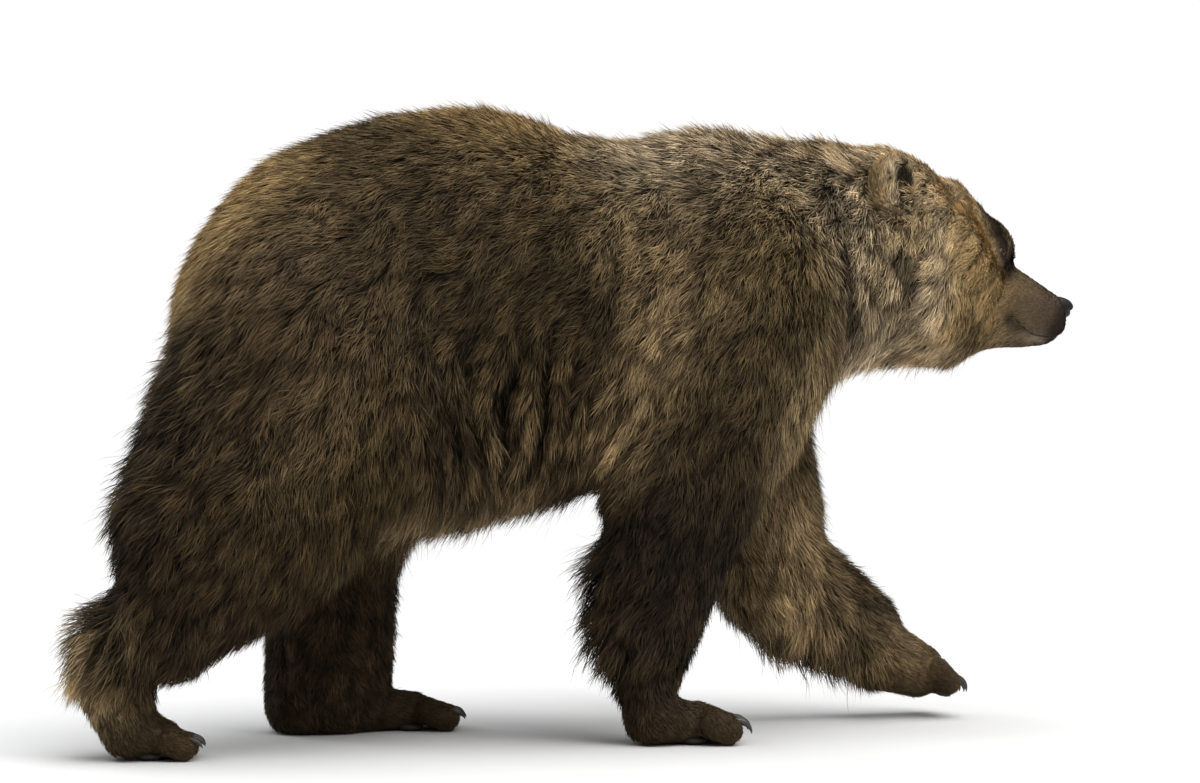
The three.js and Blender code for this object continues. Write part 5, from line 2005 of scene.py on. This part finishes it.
# ---- head details ----
@dataclass(frozen=True)
class Eye:
    """A ball with a slightly raised cornea, and the lids around it; side is -1 for the right one."""

    side: int
    radius: float = 12.6
    cornea: float = 0.9
    opening: Radii = (9.4, 5.4)
    widening: Radii = (0.5, 0.95)
    roll: float = 0.9
    fall: float = 7.5
    brow: float = 1.4
    lean: float = -0.34
    gaze: Point = (0.52, 0.84, 0.10)

    @property
    def name(self) -> str:
        """Which eye it is."""
        return "right" if self.side < 0 else "left"

    def axes(self) -> tuple[Array, Array, Array]:
        """Forward along the lids, up, and the way the eye looks, in body directions."""
        x, y, z = self.gaze
        out = unit(turned(np.array([x, self.side * y, z]), HEAD_TURN))
        ahead = turned(np.array([1.0, 0.0, self.lean]), HEAD_TURN)
        ahead = unit(ahead - out * (ahead @ out))
        return ahead, unit(np.cross(out, ahead) * self.side * -1.0), out

    @property
    def centre(self) -> Array:
        """The ball's middle."""
        x, y, z = EYE_CENTRE
        return in_head(np.array([x, self.side * y, z]))

    def ball(self) -> Thing:
        """The eyeball: radius + cornea * exp(-(angle from the gaze / 0.5)^2)."""
        rings, sides = 40, 48
        ahead, up, out = self.axes()
        polar = np.linspace(0.0, np.pi, rings + 2)[1:-1]
        radius = self.radius + self.cornea * np.exp(-(polar / 0.5) ** 2)
        ends = np.array([self.radius + self.cornea, -self.radius])[:, None] * out + self.centre
        angle = round_angles(sides)
        flat = ahead[None] * np.cos(angle)[:, None] + up[None] * np.sin(angle)[:, None]
        rows = (out[None, None] * (radius * np.cos(polar))[:, None, None]
                + flat[None] * (radius * np.sin(polar))[:, None, None])
        points = np.concatenate([rows.reshape(-1, 3) + self.centre, ends])
        away = np.concatenate([np.repeat(polar, sides), [0.0, np.pi]])
        triangles = facing_out(points, ring_faces(rings, sides))
        return make_object(f"eyeball_{self.name}", points, triangles, {"away": away})

    def lids(self) -> Thing:
        """Lids lofted from the opening's edge on the ball, over a soft roll, down into the fur."""
        rows, sides = 14, 56
        ahead, up, out = self.axes()
        angle = round_angles(sides)
        corner = 1.0 + 0.22 * np.abs(np.cos(angle)) ** 6
        t = np.linspace(0.0, 1.0, rows)[:, None]
        across = self.opening[0] * corner * np.cos(angle) * (1.0 + self.widening[0] * t)
        tall = self.opening[1] * np.sin(angle) * (1.0 + self.widening[1] * t)
        edge2 = (self.opening[0] * corner * np.cos(angle)) ** 2 + (self.opening[1] * np.sin(angle)) ** 2
        height = np.sqrt(np.maximum(self.radius ** 2 - edge2, 9.0)) - 0.4
        height = height + self.roll * np.sin(np.pi * np.minimum(t * 1.8, 1.0)) - self.fall * t ** 1.8
        brow = self.brow * np.maximum(np.sin(angle), 0.0) * np.sin(np.pi * t)
        rows_points = (ahead * across[..., None] + up * tall[..., None] + out * (height + brow)[..., None])
        hidden = ((0, 1.05, 3.5), (-1, 0.7, 7.0))
        inner, back = (ahead * (across[row] * share)[:, None] + up * (tall[row] * share)[:, None]
                       + out * (height[row] - sunk)[:, None] for row, share, sunk in hidden)
        rings = np.concatenate([inner[None], rows_points, back[None]])
        points = rings.reshape(-1, 3) + self.centre
        wall = ring_faces(len(rings), sides)[: 2 * (len(rings) - 1) * sides]
        n = np.arange(sides)
        m = (n + 1) % sides
        last = (len(rings) - 1) * sides
        close = np.concatenate([np.stack([last + n, last + m, m], 1), np.stack([last + n, m, n], 1)])
        triangles = facing_out(points, np.concatenate([wall, close]))
        return make_object(f"eyelids_{self.name}", points, triangles)


@dataclass(frozen=True)
class Nose:
    """The nose pad: a blunt rounded block with two comma-shaped nostrils and a groove below."""

    half: Point = (27.0, 26.0, 20.5)
    square: float = 0.84
    nostril: float = 9.0
    droop: float = np.radians(13.0)
    sunk: Point = (-4.0, 0.0, -4.0)
    hole: tuple[Radii, Radii] = ((12.0, -1.0), (5.5, 5.0))
    slit: tuple[Radii, Radii] = ((20.0, -1.5), (7.0, 2.4))
    wing: tuple[Radii, Radii] = ((12.0, 6.0), (9.0, 4.0))
    slit_slope: float = 0.35
    groove: Radii = (2.2, 1.6)

    @staticmethod
    def spot(side: Array, z: Array, middle: Radii, reach: Radii) -> Array:
        """1 at a place on the nose's face, fading round it: exp(-(side / reach)^2 - (z / reach)^2)."""
        return np.exp(-((side - middle[0]) / reach[0]) ** 2 - ((z - middle[1]) / reach[1]) ** 2)

    def build(self) -> Thing:
        """Superellipsoid whose front is pushed in at the nostrils and along the middle groove."""
        rings, sides = 90, 120
        ball = globe(rings, sides)
        shape = squared(ball, self.square, np.array(self.half))
        shape[:, 0] -= 0.16 * np.maximum(-shape[:, 2], 0.0)
        shape[:, 1] *= 1.0 - 0.25 * smoothstep(-shape[:, 2], 0.0, 24.0)
        front = smoothstep(ball[:, 0], 0.0, 0.35)
        side, z = np.abs(shape[:, 1]), shape[:, 2]
        hole = self.spot(side, z, *self.hole)
        slit = self.spot(side, z + self.slit_slope * (side - 14.0), *self.slit)
        groove = bell(shape[:, 1], *self.groove) * smoothstep(-z, -4.0, 8.0)
        push = front * (self.nostril * np.minimum(hole + 0.75 * slit, 1.0) + groove)
        shape[:, 0] += front * 1.2 * self.spot(side, z, *self.wing) - push
        points = in_head(tilted(shape, self.droop) + np.array(NOSE_CENTRE) + self.sunk)
        return make_object("nose_pad", points, facing_out(points, ring_faces(rings, sides)))


@dataclass(frozen=True)
class Lips:
    """The dark edge of the mouth: a thin roll carried round both sides of the muzzle, deep in the crease."""

    half_width: float = 1.9
    half_height: float = 1.5
    sunk: float = 0.3
    taper: float = 28.0
    rings: int = 90
    sides: int = 14

    def build(self, body: Body) -> Thing:
        """Carry the roll along the path, laid on the skin, and taper it at the mouth's corners.

        Args:
            body: The field whose skin the lips lie on.

        Returns:
            The lips' object.
        """
        right = np.array([mirrored(p) for p in MOUTH])
        left = np.array(MOUTH, float)[::-1][1:]
        guide = np.concatenate([right, left])
        steps = np.concatenate([[0.0], np.cumsum(lengths(np.diff(guide, axis=0)))])
        t = np.linspace(0.0, steps[-1], self.rings)
        curve = np.stack([np.interp(t, steps, guide[:, n]) for n in range(3)], axis=1)
        for _ in range(6):
            curve[1:-1] = (curve[:-2] + 2.0 * curve[1:-1] + curve[2:]) / 4.0
        centres, normals = settled(body.skin_distance, in_head(curve), 6, 6.0)
        centres = centres - normals * self.sunk
        along = unit(np.gradient(centres, axis=0))
        across = unit(np.cross(normals, along))
        ends = np.sin(np.pi * np.clip(np.minimum(t, t[-1] - t) / self.taper, 0.02, 0.5))
        points, triangles = swept(centres, across, np.cross(along, across), self.half_width * ends,
                                  self.half_height * ends, self.sides)
        return make_object("lips", points, triangles)


# ---- feet details ----
@dataclass(frozen=True)
class FootTrim:
    """The claws and pads of one foot."""

    foot: Foot
    depth: float = 1.25
    claw_rings: int = 18
    claw_sides: int = 14
    blunt: float = 0.985
    ball_pad: Point = (26.0, 50.0, 7.6)
    toe_pad: Point = (13.0, 9.5, 6.2)
    toe_low: float = 6.4

    def claws(self) -> Thing:
        """Five claws, each an ellipse carried along an arc: half width radius * (1 - t^1.6)^0.85."""
        claw = self.foot.claw
        t = np.linspace(0.0, self.blunt, self.claw_rings)
        bend = claw.length / claw.curl
        angle = claw.curl * t
        path = np.stack([bend * np.sin(angle), np.zeros_like(t), -bend * (1.0 - np.cos(angle))], axis=1)
        up = np.stack([np.sin(angle), np.zeros_like(t), np.cos(angle)], axis=1)
        across = np.tile([0.0, 1.0, 0.0], (len(t), 1))
        size = claw.radius * (1.0 - t ** 1.6) ** 0.85
        shape, triangles = swept(path, across, up, size, size * self.depth, self.claw_sides)
        strand = np.concatenate([np.repeat(t, self.claw_sides), [0.0, 1.0]])
        shapes = [(start + turned(tilted(shape, self.foot.pitch / 2 - CLAW_LIFT), heading), triangles)
                  for start, heading in self.foot.claw_starts()]
        points, faces = joined([(p, facing_out(p, f)) for p, f in shapes])
        return make_object(f"claws_{self.foot.name}", points, faces, {"strand": np.tile(strand, TOES)})

    def pads(self) -> Thing:
        """A broad cushion under the ball and a small one under each toe."""
        pitch = self.foot.pitch
        ball = np.array(self.foot.ball, float)
        down = np.array([-np.sin(pitch), 0.0, -np.cos(pitch)])
        drop = self.foot.radius - 5.0 if pitch else ball[2] - 8.0
        main = ball + down * drop - np.array([self.ball_pad[0], 0.0, 0.0])
        shapes = [cushion(main, np.array(self.ball_pad), 0.0, pitch)]
        for _, tip, along in self.foot.toes():
            low = tip + down * (self.foot.radius * TOE_TAPER - 5.5)
            low[2] = low[2] if pitch else self.toe_low
            heading = float(np.arctan2(along[1], along[0]))
            shapes.append(cushion(low + along * 2.0, np.array(self.toe_pad), heading, pitch))
        points, triangles = joined(shapes)
        points[:, 2] = np.maximum(points[:, 2], 0.0)
        return make_object(f"pads_{self.foot.name}", points, triangles)


# ---- studio ----
@dataclass(frozen=True)
class Studio:
    """A plain pale floor, soft lights and the camera."""

    yaw: float = np.radians(14.0)
    distance: float = 5.5
    height: float = 0.61
    lens: float = 92.7
    floor_half: float = 60.0
    floor_sides: int = 96
    pale: Colour = (0.66, 0.66, 0.66)
    shining: float = 0.36
    seen: float = 1.05

    def camera(self) -> None:
        """A level camera on the bear's right, a little behind its side."""
        data = bpy.data.cameras.new("camera")
        data.lens = self.lens
        data.sensor_width = 36.0
        data.clip_end = 200.0
        camera = bpy.data.objects.new("camera", data)
        away = np.array([np.sin(self.yaw), np.cos(self.yaw), 0.0])
        camera.location = SHIFT - self.distance * away + np.array([0.0, 0.0, self.height])
        camera.rotation_euler = (np.pi / 2, 0.0, -self.yaw)
        bpy.context.scene.collection.objects.link(camera)
        bpy.context.scene.camera = camera

    def light(self, name: str, place: Point, aim: Point, size: float, power: float, colour: Colour) -> None:
        """A square soft light at a place, aimed at a point.

        Args:
            name: the lamp's name.
            place: where it hangs.
            aim: where it points.
            size: its side.
            power: its power.
            colour: its colour.
        """
        data = bpy.data.lights.new(name, "AREA")
        data.shape = "SQUARE"
        data.size = size
        data.energy = power
        data.color = colour
        lamp = bpy.data.objects.new(name, data)
        way = np.subtract(aim, place)
        flat = np.hypot(way[0], way[1])
        lamp.location = place
        lamp.rotation_euler = (np.arctan2(flat, -way[2]), 0.0, np.arctan2(way[1], way[0]) - np.pi / 2)
        bpy.context.scene.collection.objects.link(lamp)

    def lights(self) -> None:
        """A wide even light overhead, a key from the camera's side and a weak one from behind."""
        data = bpy.data.lights.new("sky_light", "SUN")
        data.angle = np.radians(70.0)
        data.energy = 3.9
        sky = bpy.data.objects.new("sky_light", data)
        sky.rotation_euler = (np.radians(12.0), np.radians(8.0), 0.0)
        bpy.context.scene.collection.objects.link(sky)
        self.light("key_light", (1.9, -3.4, 2.5), (0.1, 0.0, 0.6), 1.6, 50.0, (1.0, 0.97, 0.92))
        self.light("rim_light", (-2.6, 2.6, 2.4), (-0.2, 0.0, 0.7), 1.6, 35.0, (0.95, 0.98, 1.0))

    def world(self) -> None:
        """An even pale surround, seen brighter than it shines."""
        world = bpy.data.worlds.new("surround")
        world.use_nodes = True
        tree = world.node_tree
        background = tree.nodes["Background"]
        background.inputs["Color"].default_value = rgba((1.0, 1.0, 1.0))
        looking = add_node(tree, "ShaderNodeLightPath").outputs["Is Camera Ray"]
        strength = ramped(tree, looking, (0.0, 1.0), self.shining, self.seen, "LINEAR")
        join(tree, strength, background.inputs["Strength"])
        bpy.context.scene.world = world
        bpy.context.scene.view_settings.view_transform = "Standard"

    def floor(self) -> Thing:
        """A plain pale floor, as a disc whose rim is far away."""
        sides = self.floor_sides
        angle = round_angles(sides)
        rim = np.stack([np.cos(angle), np.sin(angle), np.zeros_like(angle)], axis=1) * self.floor_half / MM
        points = np.concatenate([rim, [[0.0, 0.0, 0.0]]])
        n = np.arange(sides)
        triangles = np.stack([n, (n + 1) % sides, np.full(sides, sides)], axis=1)
        floor = make_object("studio_floor", points, triangles)
        shader = Shader("pale_floor")
        rough = shader.between(shader.noise(shader.place(), 3.0, 3.0), 0.75, 0.85)
        shader.set(Base_Color=rgba(self.pale), Roughness=rough, Specular_IOR_Level=0.1)
        floor.data.materials.append(shader.material)
        return floor


# ---- assembly ----
def dress(obj: Thing, material: Material, slot: str, *nodes: str) -> None:
    """Give a piece its material, tie it to the frame and report it.

    Args:
        obj: The piece.
        material: Its material.
        slot: Not used.
        nodes: The CAD nodes it stands for.
    """
    obj.data.materials.append(material)
    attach(obj, "root")
    if nodes:
        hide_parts(*nodes)
    log.info("%s: %d faces", obj.name, len(obj.data.polygons))


SLOTS = {Part.TRUNK: "body_coat", Part.NECK: "shoulder_coat", Part.HEAD: "face_coat", Part.EAR: "face_coat",
         Part.MUZZLE: "muzzle_coat"}


def build_coat(skin: Skin, material: Material) -> None:
    """Grow the coat and make its pieces.

    Args:
        skin: the skin that it grows on.
        material: the hair.
    """
    coat = CoatOfTufts(skin)
    coat.scatter()
    log.info("%d tufts", len(coat.roots))
    for pelt in PELTS:
        piece = coat.piece(pelt)
        if piece is not None:
            dress(piece, material, SLOTS.get(pelt.part, "leg_coat"))


def build_head(body: Body, pebbles: Tree) -> None:
    """Eyes, lids, nose and lips.

    Args:
        body: the masses, for the lips' line.
        pebbles: the leather group.
    """
    wet_eye = EyeFinish().material()
    lid = LeatherFinish(pebbles, "lid_skin", (0.008, 0.006, 0.005), (0.018, 0.013, 0.010), 900.0, 0.3,
                        (0.6, 0.8))
    nose = LeatherFinish(pebbles, "nose_leather", (0.004, 0.0035, 0.0035), (0.018, 0.016, 0.015), 650.0, 0.7,
                         (0.35, 0.5), 0.06, 0.12)
    lip = LeatherFinish(pebbles, "lip_skin", (0.009, 0.007, 0.006), (0.022, 0.017, 0.014), 500.0, 0.4,
                        (0.5, 0.7))
    lid_material = lid.material()
    for side in (-1, 1):
        eye = Eye(side)
        dress(eye.ball(), wet_eye, "eye", f"eye_{eye.name}")
        dress(eye.lids(), lid_material, "nose_leather")
    dress(Nose().build(), nose.material(), "nose_leather", "nose")
    dress(Lips().build(body), lip.material(), "nose_leather")


def build_feet(pebbles: Tree) -> None:
    """Claws and pads.

    Args:
        pebbles: the leather group.
    """
    horn = HornFinish().material()
    pad = LeatherFinish(pebbles, "pad_leather", (0.018, 0.014, 0.012), (0.06, 0.048, 0.04), 350.0, 0.8,
                        (0.6, 0.85))
    pad_material = pad.material()
    for foot in FEET:
        trim = FootTrim(foot)
        dress(trim.claws(), horn, "claw_horn", *[f"{foot.name}_claw_{n + 1}" for n in range(TOES)])
        dress(trim.pads(), pad_material, "nose_leather")


def write_sizes() -> None:
    """Bring the scene's transforms up to date."""
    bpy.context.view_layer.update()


def main() -> None:
    """Build the bear and its studio."""
    logging.basicConfig(level=logging.INFO, format="%(message)s")
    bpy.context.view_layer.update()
    tone, pebbles = hair_tone_group(), pebble_group()
    body = Body()
    skin = Skin(body)
    skin_object = skin.build()
    dress(skin_object, SkinFinish(tone).material(), "body_coat", *FLESH_NODES)
    build_coat(skin, CoatFinish(tone).material())
    build_head(body, pebbles)
    build_feet(pebbles)
    studio = Studio()
    studio.floor()
    studio.world()
    studio.lights()
    studio.camera()
    write_sizes()


if __name__ == "__main__":
    main()
